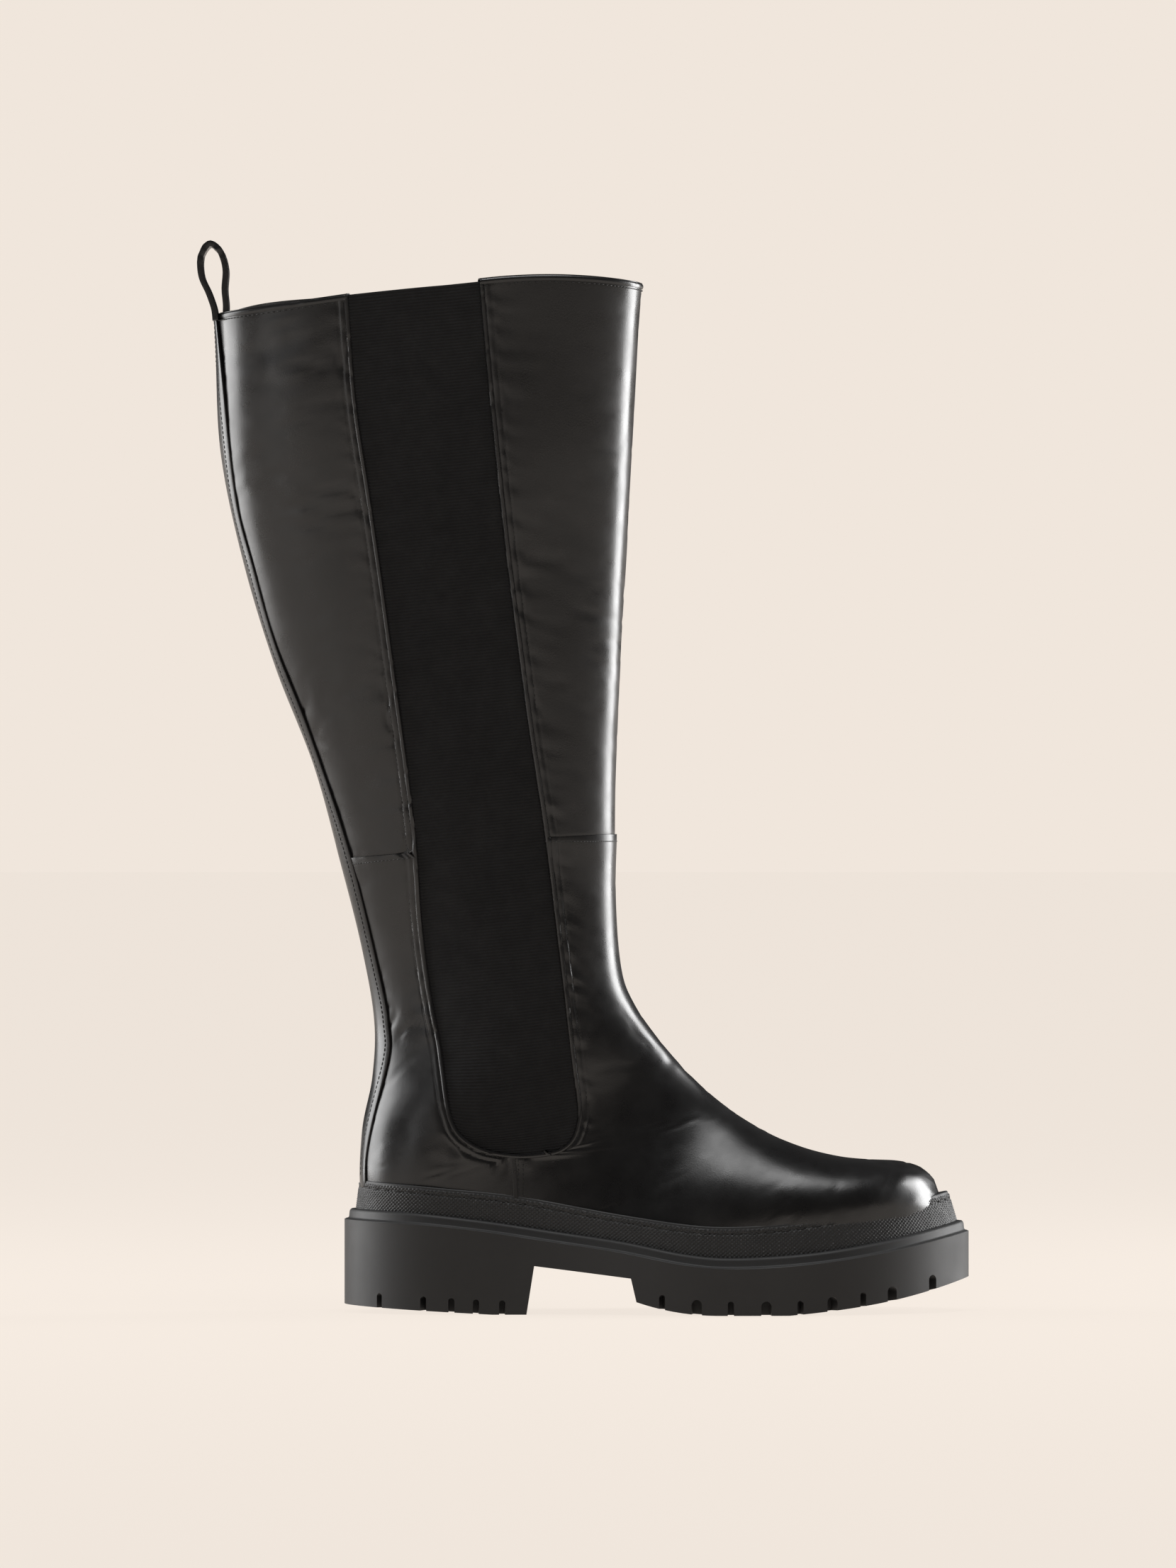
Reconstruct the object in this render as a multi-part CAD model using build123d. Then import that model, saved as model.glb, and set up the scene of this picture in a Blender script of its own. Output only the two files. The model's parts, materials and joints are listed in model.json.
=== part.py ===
"""A knee-high pull-on boot for the right foot: leather upper with full-length elastic gores, lug sole.

The toe points along +X, the outer side of the leg is -Y and the tread stands on z = 0. Every outline
is drawn in side view, in millimetres from the back of the heel, and moved to the middle on writing.
"""
from build123d import *
import math
import os

# Driving dimensions
SOLE_LENGTH = 286.0
LOOP_BACK = -67.46
LEATHER = 1.6
GORE_RECESS = 0.7
GORE_THICKNESS = 1.7
STIFFENER = 0.8
LINING = 0.8
PLAY = 0.25
STAY_THICKNESS = 1.2
STAY_GAP = 0.6
STRAP_THICKNESS = 2.6
STRAP_WIDTH = 20.0
TAIL_THICKNESS = 1.4
BINDING_HEIGHT = 1.5
FACING_HEIGHT = 30.0
LEDGE_RISE = 4.5
LEDGE_WIDTH = 3.2
WELT_INSET = 5.6
LUG_HEIGHT = 6.5
RIM_OF_LUGS = 15.0
NOTCH_REACH = 11.0
NARROW_NOTCH = 2.8
WIDE_NOTCH = 4.8
MIDDLE_LUG = 8.0
FIELD_DEPTH = 4.0
HEEL_WALL = 13.0
FILLER = 1.6
BOARD = 2.2
FOOTBED = 3.5
SOCK = 0.8
SOCK_LENGTH = 92.0
SHANK_START = 62.0
SHANK_LENGTH = 100.0
SHANK_WIDTH = 14.0
FAR = 400.0
CENTRE_X = (SOLE_LENGTH + LOOP_BACK) / 2

# The body of the upper, as sections that fan round from level at the calf to upright at the toe:
# front point, back point, outer and inner half widths, where it is widest, fullness in front and
# behind, how far the section leans inward, and how much an inset grows where the wall slants.
STATIONS = [
    ((138.5, 492), (-59.8, 480), 37.5, 37.5, 0.48, 2.2, 2.3, 0, 1),
    ((134.6, 450), (-57.6, 444), 37.0, 37.0, 0.47, 2.2, 2.3, 0, 1),
    ((131.8, 400), (-55.2, 394), 36.0, 36.0, 0.46, 2.2, 2.1, 0, 1),
    ((129.2, 352), (-45.2, 345), 34.0, 34.0, 0.45, 2.2, 2.0, 0, 1),
    ((126.9, 304), (-30.4, 296), 31.5, 31.5, 0.44, 2.2, 2.0, 0, 1),
    ((124.7, 258), (-12.5, 250), 30.0, 30.0, 0.43, 2.2, 2.0, 0, 1),
    ((123.8, 214), (-0.4, 206), 28.5, 28.5, 0.42, 2.2, 1.9, 0, 1),
    ((124.6, 180), (9.4, 167), 28.5, 28.5, 0.41, 2.2, 1.7, 0, 1),
    ((127.0, 155), (15.1, 134), 29.0, 29.0, 0.42, 2.2, 1.7, 0, 1),
    ((132.5, 141), (14.3, 108), 29.5, 29.5, 0.46, 2.2, 1.8, 0, 1),
    ((142.0, 127), (9.4, 82), 30.5, 30.5, 0.56, 2.2, 2.1, 0, 1),
    ((154.0, 112.5), (9.6, 50), 30.0, 29.5, 0.66, 2.1, 2.3, 0, 1),
    ((166.0, 100.5), (22.0, 20), 29.8, 27.4, 0.62, 2.1, 2.3, 0, 1),
    ((179.0, 90.5), (60.0, 2), 32.0, 27.5, 0.50, 2.1, 2.3, 0, 1),
    ((193.4, 81.8), (109.0, -8), 40.5, 34.5, 0.455, 2.1, 2.3, 0, 1),
    ((209.7, 75.2), (157.0, -6), 43.5, 42.0, 0.42, 2.1, 2.3, 0.5, 1),
    ((226.0, 71.3), (197.0, 2), 41.5, 42.5, 0.42, 2.2, 2.3, 1, 1),
    ((240.0, 69.7), (224.0, 8), 37.5, 39.5, 0.40, 2.2, 2.3, 2, 1.1),
    ((252.5, 68.7), (243.0, 8), 31.0, 34.0, 0.34, 2.2, 2.3, 3.5, 1.25),
    ((260.5, 66.8), (256.0, 10), 25.0, 28.5, 0.35, 2.2, 2.3, 5, 1.45),
    ((266.0, 64.0), (264.0, 14), 19.5, 22.5, 0.36, 2.2, 2.3, 6.5, 1.65),
    ((270.2, 59.5), (269.6, 18), 13.0, 15.0, 0.36, 2.2, 2.3, 7.5, 1.9),
    ((272.8, 52.5), (272.8, 20), 5.5, 6.5, 0.34, 2.2, 2.3, 8, 1.3),
]
SHEET_POINTS = 14

# Side-view lines, (x, z)
LIP = [(-20, 42.8), (2, 42.4), (33, 41), (64, 37.7), (95, 33), (126, 28.4), (155, 22.9), (177, 21.2),
       (211, 23), (244, 27.6), (283, 36), (310, 43)]
WELT_TOP = [(-20, 62), (8, 60), (45, 57.3), (78, 54), (121, 46), (155, 41.2), (177, 40.2),
            (200, 41.5), (222, 44.4), (244, 47.4), (272, 52.3), (310, 60)]
HEEL_BACK_LIFT = (-20.0, 4.9)
HEEL_FLAT = (68.0, 83.5)
BREAST_TOP = (87.0, 22.1)
ARCH_END = (131.0, 16.7)
TREAD_START = [(133.5, 6.0), (147, 2.4), (170, 0)]
TREAD_FLAT = (170.0, 203.0)
TREAD_TOE = [(203, 0), (219, 1.6), (250, 6.3), (283, 15.0), (310, 24.5)]
FRONT_RIM = [(20, 468), (61.7, 471.7), (88.9, 474.6), (108, 474.3), (137, 471), (170, 466)]
GORE_RIM = [(-30, 460.6), (1.3, 464), (24, 466.5), (61.4, 469.7), (90, 473)]
BACK_RIM = [(-90, 449), (-57, 457.4), (-43.5, 461), (-15, 464.2), (0.6, 465.1), (40, 467)]
GORE_BACK_EDGE = [(0.5, 500), (1.6, 464), (5.5, 416), (11.7, 373), (20, 315), (31.5, 227), (35, 179),
                  (38.6, 150), (44, 121), (47.7, 95)]
GORE_FOOT = [(50.6, 85.4), (55.5, 79.5), (64, 74.8), (78, 72.4), (90, 72.9), (98.7, 74.9),
             (104.4, 80), (107, 88)]
GORE_FRONT_EDGE = [(107.1, 95), (103.5, 125), (98.7, 167), (92.7, 215), (82.4, 286), (71.6, 373),
                   (62.3, 471), (59, 500)]
DIVIDE = [(20, 600), (62, 213), (78, 72.4), (79.5, 54), (80.5, -20)]
FRONT_SEAM = [(0, 213), (200, 222)]
BACK_SEAM = [(-90, 199.4), (110, 217.4)]
STAY_EDGE = [(-59.5, 500), (-57.6, 455), (-54.7, 427), (-48.7, 373), (-40.7, 341), (-30.5, 305),
             (-15.4, 266), (2.8, 212), (17.5, 152), (21.1, 131), (21.1, 117), (14, 88), (10.9, 71),
             (10.7, 30)]
COUNTER_EDGE = [(70, -20), (66, 55), (50, 84), (24, 101), (-30, 108)]
# How far the raw sheets reach under the gores and past the side seams before they are trimmed
VAMP_REACH = [(73, -20), (74, 50), (76, 70), (84, 85), (90, 105), (88, 140), (82, 190), (76, 240)]
QUARTER_REACH = [(88, -20), (87, 50), (85, 64), (72, 84), (60, 110), (52, 150), (46, 190), (42, 240)]

# Sole outline in plan, (x, y)
SOLE_OUTLINE = [(0, 1), (8, -21), (35, -37.5), (75, -38), (112, -41.5), (150, -50), (185, -52),
                (225, -46.5), (258, -30.5), (279, -9), (286, 7), (281, 23), (262, 40.5), (232, 50.5),
                (200, 52), (160, 46), (120, 36), (90, 34.5), (60, 36.5), (35, 37.5), (8, 22.5)]
HEEL_NOTCHES = [16.4, 36.4, 49.3, 60.5, 72.6]
SOLE_NOTCHES = [(145, NARROW_NOTCH), (160.7, WIDE_NOTCH), (176.4, NARROW_NOTCH),
                (192.4, WIDE_NOTCH), (208, NARROW_NOTCH), (222.5, WIDE_NOTCH),
                (236.8, NARROW_NOTCH), (250, WIDE_NOTCH), (268.9, WIDE_NOTCH)]
MIDDLE_LUGS = [(153, -3), (168, -1), (183, 0), (198, 1), (213, 3), (228, 4), (243, 6)]
HEEL_LUGS = [(24, 0), (40, 0), (56, 0)]

# Pull loop, the middle of the strap in side view, from the outer foot over the top to the inner one
LOOP = [(-59.3, 459.8), (-62.0, 466), (-65.4, 474), (-65.6, 483), (-61.5, 488.7), (-56.6, 485),
        (-54.2, 477), (-54.6, 468), (-54.0, 461.2)]


def curve(points):
    """A smooth edge in side view through (x, z) points, or a straight one through two."""
    spots = [Vector(x, 0, z) for x, z in points]
    if len(spots) == 2:
        return Edge.make_line(*spots)
    return Edge.make_spline(spots)


def straight(points):
    """Straight edges in side view from point to point."""
    return [curve([one, two]) for one, two in zip(points, points[1:])]


def slab(edges, low=-FAR, high=FAR):
    """The solid that a closed side-view outline sweeps across the boot, from y low to y high."""
    face = Face(Wire(edges))
    if face.normal_at().Y < 0:
        face = -face
    return Solid.extrude(face, Vector(0, high - low, 0)).moved(Location((0, low, 0)))


def closed(lines):
    """The edges of an outline, with straight runs between the ends of its lines."""
    edges = [curve(line) for line in lines]
    gaps = zip(lines, lines[1:] + lines[:1])
    return edges + [curve([one[-1], two[0]]) for one, two in gaps if math.dist(one[-1], two[0]) > 1e-6]


def outline(line, corners):
    """A closed outline of one smooth line and straight runs round the given corners."""
    return [curve(line)] + straight([line[-1], *corners, line[0]])


def beyond(line, corners, low=-FAR, high=FAR):
    """Everything on one side of a side-view line, out to the given far corners."""
    return slab(outline(line, corners), low, high)


def above(line):
    """Everything over a side-view line."""
    return beyond(line, [(FAR, line[-1][1]), (FAR, FAR * 2), (-FAR, FAR * 2), (-FAR, line[0][1])])


def below(line):
    """Everything under a side-view line."""
    return beyond(line, [(FAR, line[-1][1]), (FAR, -FAR), (-FAR, -FAR), (-FAR, line[0][1])])


def behind(line):
    """Everything on the heel's side of an upright side-view line."""
    return beyond(line, [(-FAR, line[-1][1]), (-FAR, line[0][1])])


def ahead(line):
    """Everything on the toe's side of an upright side-view line."""
    return beyond(line, [(FAR, line[-1][1]), (FAR, line[0][1])])


def around(edges):
    """Everything outside a closed side-view outline."""
    return only(Solid.make_box(4 * FAR, 2 * FAR, 4 * FAR).moved(Location((-2 * FAR, -FAR, -2 * FAR)))
                - slab(edges))


def raised(line, rise):
    """The same line, higher by rise."""
    return [(x, z + rise) for x, z in line]


def only(shape):
    """A boolean's result as its largest solid."""
    return max(shape.solids(), key=lambda solid: solid.volume)


# The body of the upper
def between(rows, place):
    """A value at a place between the stations, on a smooth curve through them."""
    low = min(max(int(place), 0), len(rows) - 2)
    share = place - low
    before, here = rows[max(low - 1, 0)], rows[low]
    there, after = rows[low + 1], rows[min(low + 2, len(rows) - 1)]
    bend = 2 * before - 5 * here + 4 * there - after
    twist = 3 * (here - there) + after - before
    return here + 0.5 * share * (there - before + share * (bend + share * twist))


COLUMNS = [list(column) for column in zip(*[(*front, *back, *rest)
                                            for front, back, *rest in STATIONS])]


def power(value, fullness):
    """One coordinate of a superellipse."""
    return math.copysign(abs(value) ** (2 / fullness), value)


def on_form(place, turn, inset=0.0):
    """A point of the upper: place counts stations, turn goes from 0 at the front to 180 behind."""
    row = [between(column, place) for column in COLUMNS]
    fx, fz, bx, bz, outer, inner, widest, full_front, full_back, lean, slant = row
    across = inset * slant
    start, end = Vector(fx, 0, fz), Vector(bx, 0, bz)
    along = (start - end).normalized()
    start, end = start - along * across, end + along * across
    middle = start - (start - end) * widest
    angle = math.radians(turn)
    ahead_part = math.cos(angle) > 0
    fullness = full_front if ahead_part else full_back
    reach = ((start if ahead_part else end) - middle).length * power(math.cos(angle), fullness)
    width = (outer if math.sin(angle) < 0 else inner) - across
    side = width * power(math.sin(angle), fullness)
    return middle + along * reach + Vector(0, lean + side, 0)


def turn_at(place, test):
    """The turn from 0 to 180 at which a section first leaves the places that pass a test."""
    low, high = 0.0, 180.0
    if test(on_form(place, high)):
        return high
    for step in range(1, 61):
        if not test(on_form(place, 3.0 * step)):
            low, high = 3.0 * (step - 1), 3.0 * step
            break
    for _ in range(24):
        middle = (low + high) / 2
        low, high = (middle, high) if test(on_form(place, middle)) else (low, middle)
    return low


def line_value(line, at, upright_line):
    """Where a side-view line is at a height, or how high it is at an x."""
    pairs = sorted((z, x) if upright_line else (x, z) for x, z in line)
    keys = [pair[0] for pair in pairs]
    low = max(0, min(len(keys) - 2, sum(key <= at for key in keys) - 1))
    share = (at - keys[low]) / (keys[low + 1] - keys[low])
    values = [pair[1] for pair in pairs]
    if 0 <= share <= 1:
        return between(values, low + share)
    return values[low] + share * (values[low + 1] - values[low])


def front_turn(place):
    """Where a section meets the front edge of the gore."""
    return turn_at(place, lambda spot: spot.X > line_value(GORE_FRONT_EDGE, spot.Z, True))


def back_turn(place):
    """Where a section meets the back edge of the gore."""
    return turn_at(place, lambda spot: spot.X > line_value(GORE_BACK_EDGE, spot.Z, True))


def foot_turn(place, under=0.0):
    """Where a section meets the sole, or 180 where it stays above it."""
    return turn_at(place, lambda spot: spot.Z > line_value(LIP, spot.X, False) + LEDGE_RISE - under)


def stay_turn(place):
    """Where a section meets the side edge of the back stay."""
    return turn_at(place, lambda spot: spot.X > line_value(STAY_EDGE, spot.Z, True))


def thin_section(place, start, end, outer, inner):
    """The closed section of a sheet between two turns and two depths."""
    turns = [start + (end - start) * step / SHEET_POINTS for step in range(SHEET_POINTS + 1)]
    top = [on_form(place, wrapped(turn), outer) for turn in turns]
    under = [on_form(place, wrapped(turn), inner) for turn in reversed(turns)]
    edges = [Edge.make_spline(top), Edge.make_line(top[-1], under[0]),
             Edge.make_spline(under), Edge.make_line(under[-1], top[0])]
    return Wire(edges)


def wrapped(turn):
    """A turn brought between -180 and 180."""
    return (turn + 180) % 360 - 180


def sheet(rows, start, end, outer, inner):
    """A sheet of material over some stations, between two turns that may change along it."""
    return Solid.make_loft([thin_section(row, start(row), end(row), outer, inner) for row in rows])


def trimmed(shape, *cuts):
    """A sheet with what lies in the given regions cut off."""
    return only(shape - list(cuts))


# Pieces of the upper
SHAFT_ROWS = [0, 0.5, 1, 1.5, 2, 3, 4, 5, 6, 6.6]
RIM_ROWS = [0, 0.5, 1, 1.5, 2]
TAIL_ROWS = [0.35, 0.7, 1.05]
VAMP_ROWS = [5.4, 6, 7, 8, 9, 10, 11, 12, 13, 14, 15, 16, 17, 18, 19, 20, 21, 22]
QUARTER_ROWS = [5.4, 6, 7, 8, 9, 10, 10.5, 11, 11.5, 12, 12.6]
GORE_ROWS = [0, 1, 2, 3, 4, 5, 6, 7, 8, 9, 10, 10.7, 11.5]
STAY_ROWS = [0, 0.5, 1, 1.5, 2, 3, 4, 5, 6, 6.6, 7, 8, 9, 10, 10.5, 11]
COUNTER_ROWS = [9, 9.5, 10, 10.5, 11, 11.5, 12, 12.6]
PUFF_ROWS = [16.6, 17, 18, 19, 20, 21, 22]
GORE_REACH = 4.0


def vamp_turn(place):
    """How far round the raw vamp reaches."""
    return turn_at(place, lambda spot: spot.X > line_value(VAMP_REACH, spot.Z, True)
                   and spot.Z > line_value(LIP, spot.X, False) - LEDGE_RISE)


def quarter_turn(place):
    """Where the raw quarter starts."""
    return turn_at(place, lambda spot: spot.X > line_value(QUARTER_REACH, spot.Z, True))


def over(rows, turn, outer, inner):
    """A sheet over the front, as far round on each side as turn says."""
    return sheet(rows, lambda row: -turn(row), turn, outer, inner)


def round_back(rows, turn, outer, inner):
    """A sheet round the back, from turn on one side to turn on the other."""
    return sheet(rows, turn, lambda row: 360 - turn(row), outer, inner)


def back_side(rows, turn, side, outer, inner):
    """One side of such a sheet, up to the back seam."""
    seam = 180 - 0.05 * side
    return sheet(rows, lambda row: seam, lambda row: 180 - side * (180 - turn(row)), outer, inner)


def front_reach(row):
    """A little past the gore's front edge."""
    return front_turn(row) + GORE_REACH


def back_reach(row):
    """A little past the gore's back edge."""
    return back_turn(row) - GORE_REACH


def gore_edges():
    """The outline of the elastic gore."""
    return closed([GORE_BACK_EDGE + GORE_FOOT + GORE_FRONT_EDGE])


def foot_cut():
    """What is cut away under the upper, where it meets the sole."""
    return below(raised(LIP, LEDGE_RISE))


def leather_panels():
    """The outer leather: vamp, quarters and the three shaft panels."""
    pieces = {
        "vamp": trimmed(over(VAMP_ROWS, vamp_turn, 0, LEATHER), above(FRONT_SEAM), foot_cut(),
                        slab(gore_edges()), behind(DIVIDE)),
        "shaft_front": trimmed(over(SHAFT_ROWS, front_reach, 0, LEATHER), below(FRONT_SEAM),
                               slab(gore_edges()), above(raised(FRONT_RIM, -BINDING_HEIGHT))),
    }
    for name, side in (("lateral", -1), ("medial", 1)):
        quarter = back_side(QUARTER_ROWS, quarter_turn, side, 0, LEATHER)
        pieces[f"quarter_{name}"] = trimmed(quarter, above(BACK_SEAM), foot_cut(),
                                            slab(gore_edges()), ahead(DIVIDE))
        shaft = back_side(SHAFT_ROWS, back_reach, side, 0, LEATHER)
        pieces[f"shaft_back_{name}"] = trimmed(shaft, below(BACK_SEAM), slab(gore_edges()),
                                               above(raised(BACK_RIM, -BINDING_HEIGHT)))
    return pieces


def gores():
    """The elastic gores, set a little below the leather."""
    pieces = {}
    for name, side in (("lateral", -1), ("medial", 1)):
        raw = sheet(GORE_ROWS, lambda row: side * (front_turn(row) - 4),
                    lambda row: side * (back_turn(row) + 4), GORE_RECESS, GORE_RECESS + GORE_THICKNESS)
        pieces[f"gore_{name}"] = trimmed(raw, around(gore_edges()), above(GORE_RIM))
    return pieces


def linings():
    """The lining sheets, the leather facings along the top and the stiffeners in toe and heel."""
    outer = LEATHER + 2 * PLAY + STIFFENER
    inner = outer + LINING
    stiff = LEATHER + PLAY
    face = inner + PLAY
    front_top = above(raised(FRONT_RIM, -BINDING_HEIGHT))
    back_top = above(raised(BACK_RIM, -BINDING_HEIGHT))
    past_counter = beyond(COUNTER_EDGE, [(-30, FAR), (FAR, FAR), (FAR, -20)])
    return {
        "vamp_lining": trimmed(over(VAMP_ROWS, vamp_turn, outer, inner), above(FRONT_SEAM),
                               foot_cut(), slab(gore_edges()), behind(DIVIDE)),
        "shaft_lining_front": trimmed(over(SHAFT_ROWS, front_reach, outer, inner),
                                      below(FRONT_SEAM), front_top, slab(gore_edges())),
        "quarter_lining": trimmed(round_back(QUARTER_ROWS, quarter_turn, outer, inner),
                                  above(BACK_SEAM), foot_cut(), slab(gore_edges()), ahead(DIVIDE)),
        "shaft_lining_back": trimmed(round_back(SHAFT_ROWS, back_reach, outer, inner),
                                     below(BACK_SEAM), back_top, slab(gore_edges())),
        "top_facing_front": trimmed(over(RIM_ROWS, front_reach, face, face + LINING), front_top,
                                    below(raised(FRONT_RIM, -FACING_HEIGHT)), slab(gore_edges())),
        "top_facing_back_lateral": facing_back(-1, face),
        "top_facing_back_medial": facing_back(1, face),
        "heel_counter": trimmed(round_back(COUNTER_ROWS, quarter_turn, stiff, stiff + STIFFENER),
                                foot_cut(), past_counter),
        "toe_puff": trimmed(over(PUFF_ROWS, vamp_turn, stiff, stiff + STIFFENER), foot_cut()),
    }


def facing_back(side, depth):
    """The facing of one half of the calf, which stops beside the pull loop's tail."""
    seam = 180 - side * (180 - tail_turn(0.7) + 2 * GORE_REACH)
    raw = sheet(RIM_ROWS, lambda row: seam, lambda row: 180 - side * (180 - back_reach(row)),
                depth, depth + LINING)
    return trimmed(raw, above(raised(BACK_RIM, -BINDING_HEIGHT)),
                   below(raised(BACK_RIM, -FACING_HEIGHT)), slab(gore_edges()),
                   Solid.make_box(FAR, STRAP_WIDTH + 2, FAR * 2).moved(
                       Location((-FAR, -STRAP_WIDTH / 2 - 1, 0))))


def tail_turn(place):
    """Where a section is half a strap's width off its middle, behind."""
    turns = [180 - step * 0.25 for step in range(400)]
    depth = LEATHER + STIFFENER + LINING + 3 * PLAY
    return next(turn for turn in turns if abs(on_form(place, turn, depth).Y) > STRAP_WIDTH / 2)


def loop_tail():
    """The end of the pull loop's strap, stitched down inside the back of the calf."""
    depth = LEATHER + STIFFENER + LINING + 3 * PLAY
    raw = round_back(TAIL_ROWS, tail_turn, depth, depth + TAIL_THICKNESS)
    return trimmed(raw, above(raised(BACK_RIM, -BINDING_HEIGHT)))


def bindings():
    """The rolled edges that cap leather, lining and facing along the top."""
    depth = LEATHER + 3 * PLAY + STIFFENER + 2 * LINING
    rise = PLAY - BINDING_HEIGHT
    return {
        "top_binding_front": trimmed(over(RIM_ROWS, front_reach, 0, depth), above(FRONT_RIM),
                                     slab(gore_edges()), below(raised(FRONT_RIM, rise))),
        "top_binding_back": trimmed(round_back(RIM_ROWS, back_reach, 0, depth), above(BACK_RIM),
                                    slab(gore_edges()), below(raised(BACK_RIM, rise))),
    }


def back_stay():
    """The strip over the back seam, from the rim down to the welt."""
    strip = round_back(STAY_ROWS, stay_turn, -STAY_THICKNESS - STAY_GAP, -STAY_GAP)
    return trimmed(strip, below(raised(WELT_TOP, PLAY)), above(raised(BACK_RIM, -BINDING_HEIGHT)))


def strap(points, width, thickness):
    """A flat strap of leather along a side-view curve."""
    path = curve(points)
    steps = 4 * len(points)
    rails = []
    for side in (-1, 1):
        rail = []
        for step in range(steps + 1):
            along = path.tangent_at(step / steps)
            out = Vector(along.Z, 0, -along.X) * (side * thickness / 2)
            rail.append(path.position_at(step / steps) + out)
        rails.append(Edge.make_spline(rail))
    ends = [Edge.make_line(rails[0] @ t, rails[1] @ t) for t in (0, 1)]
    face = Face(Wire([*rails, *ends]))
    return Solid.extrude(face, Vector(0, width, 0)).moved(Location((0, -width / 2, 0)))


# The sole unit
def outline_edge(points):
    """A smooth closed outline in plan."""
    return Edge.make_spline([Vector(x, y, 0) for x, y in points], periodic=True)


def sole_face(inset):
    """The sole's outline in plan, inset mm inside its widest edge."""
    edge = outline_edge(SOLE_OUTLINE)
    points = []
    for x, y in SOLE_OUTLINE:
        along = edge.tangent_at(edge.param_at_point(Vector(x, y, 0)))
        points.append((x - along.Y * inset, y + along.X * inset))
    return Face(Wire(outline_edge(points)))


def footprint(inset):
    """The outline in plan of the upper where it meets the sole, inset mm under its outer face."""
    rows = [11.15, 11.4, 11.8, 12.3, 13, 14, 15, 16, 17, 18, 19, 20, 21, 22]
    spots = [on_form(row, foot_turn(row), inset) for row in rows]
    spots += [on_form(row, -foot_turn(row), inset) for row in reversed(rows)]
    return Face(Wire(outline_edge([(spot.X, spot.Y) for spot in spots])))


def upright(face, low=-20.0, high=100.0):
    """A plan outline pulled straight up."""
    if face.normal_at().Z < 0:
        face = -face
    return Solid.extrude(face, Vector(0, 0, high - low)).moved(Location((0, 0, low)))


def layer_over_sole(face, low, high):
    """A plate that follows the sole's dip, between two heights over where the upper stands."""
    foot = raised(LIP, LEDGE_RISE)
    return only(upright(face) - [below(raised(foot, low)), above(raised(foot, high))])


def side_lines():
    """The underside in side view, from behind the heel to past the toe."""
    return [[HEEL_BACK_LIFT, (HEEL_FLAT[0], 0)], [(HEEL_FLAT[0], 0), (HEEL_FLAT[1], 0)],
            [(HEEL_FLAT[1], 0), BREAST_TOP], [BREAST_TOP, ARCH_END], [ARCH_END, TREAD_START[0]],
            TREAD_START, [(TREAD_FLAT[0], 0), (TREAD_FLAT[1], 0)], TREAD_TOE]


def tread_height(x):
    """How high the tread stands at x."""
    if x <= HEEL_FLAT[1]:
        return max(0, HEEL_BACK_LIFT[1] * (HEEL_FLAT[0] - x) / (HEEL_FLAT[0] - HEEL_BACK_LIFT[0]))
    if x < TREAD_FLAT[0]:
        return line_value(TREAD_START, x, False)
    return line_value(TREAD_TOE, x, False) if x > TREAD_FLAT[1] else 0.0


def edge_place(x, side):
    """The point of the sole's outline at x on one side, and the way into the sole from it."""
    edge = outline_edge(SOLE_OUTLINE)
    shares = [step / 2000 for step in range(2000) if edge.position_at(step / 2000).Y * side > 0]
    share = min(shares, key=lambda part: abs(edge.position_at(part).X - x))
    along = edge.tangent_at(share)
    return edge.position_at(share), Vector(-along.Y, along.X, 0)


def notch(x, side, width):
    """A round-topped slot between two lugs, square to the edge of the sole."""
    spot, inward = edge_place(x, side)
    start = Vector(spot.X, spot.Y, tread_height(x)) - inward * RIM_OF_LUGS
    wall = Plane(origin=start, x_dir=Vector(0, 0, 1), z_dir=inward)
    straight_side = LUG_HEIGHT - width / 2
    slot = Rectangle(2 * straight_side, width) + Pos(straight_side, 0) * Circle(width / 2)
    return Solid.extrude((wall * slot).face(), inward * (RIM_OF_LUGS + NOTCH_REACH))


def tread_field(low, high, lug_places):
    """The sunk field inside the rim of lugs, with the middle lugs left standing."""
    field = upright(sole_face(RIM_OF_LUGS), -20, 60) & Solid.make_box(
        high - low, 2 * FAR, 60).moved(Location((low, -FAR, -20)))
    lugs = [Solid.make_box(MIDDLE_LUG, 2.2 * MIDDLE_LUG, 90).moved(
        Location((x - MIDDLE_LUG / 2, y - 1.1 * MIDDLE_LUG, -30))) for x, y in lug_places]
    tread = raised([(-20, HEEL_BACK_LIFT[1]), (HEEL_FLAT[0], 0), (HEEL_FLAT[1] + 30, 0)], FIELD_DEPTH)
    if low > HEEL_FLAT[1]:
        tread = raised(TREAD_START + TREAD_TOE, FIELD_DEPTH)
    return (field - lugs) - above(tread)


def outsole():
    """The moulded rubber sole with its heel block, lugs and the hollow that holds the heel core."""
    top = raised(LIP, LEDGE_RISE)
    base = only(upright(sole_face(0)) & slab(closed(side_lines() + [top[::-1]])))
    slots = [notch(x, side, NARROW_NOTCH) for x in HEEL_NOTCHES for side in (-1, 1)]
    slots += [notch(x, side, width) for x, width in SOLE_NOTCHES for side in (-1, 1)]
    slots.append(notch(SOLE_LENGTH - 0.2, 1, WIDE_NOTCH))
    slots.append(notch(0.2, 1, WIDE_NOTCH))
    fields = [tread_field(12, 72, HEEL_LUGS), tread_field(146, 262, MIDDLE_LUGS)]
    ledge = (upright(sole_face(0)) - upright(sole_face(LEDGE_WIDTH))) - below(LIP)
    return only(base - [*slots, *fields, heel_hollow(0), only(ledge)])


def heel_hollow(play):
    """The block of the heel core, smaller all round by play."""
    plan = upright(sole_face(HEEL_WALL + play), 12 + play, 60)
    box = Solid.make_box(54 - 2 * play, 2 * FAR, 200).moved(Location((14 + play, -FAR, -20)))
    return only((plan & box) - above(raised(LIP, LEDGE_RISE - play)))


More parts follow.
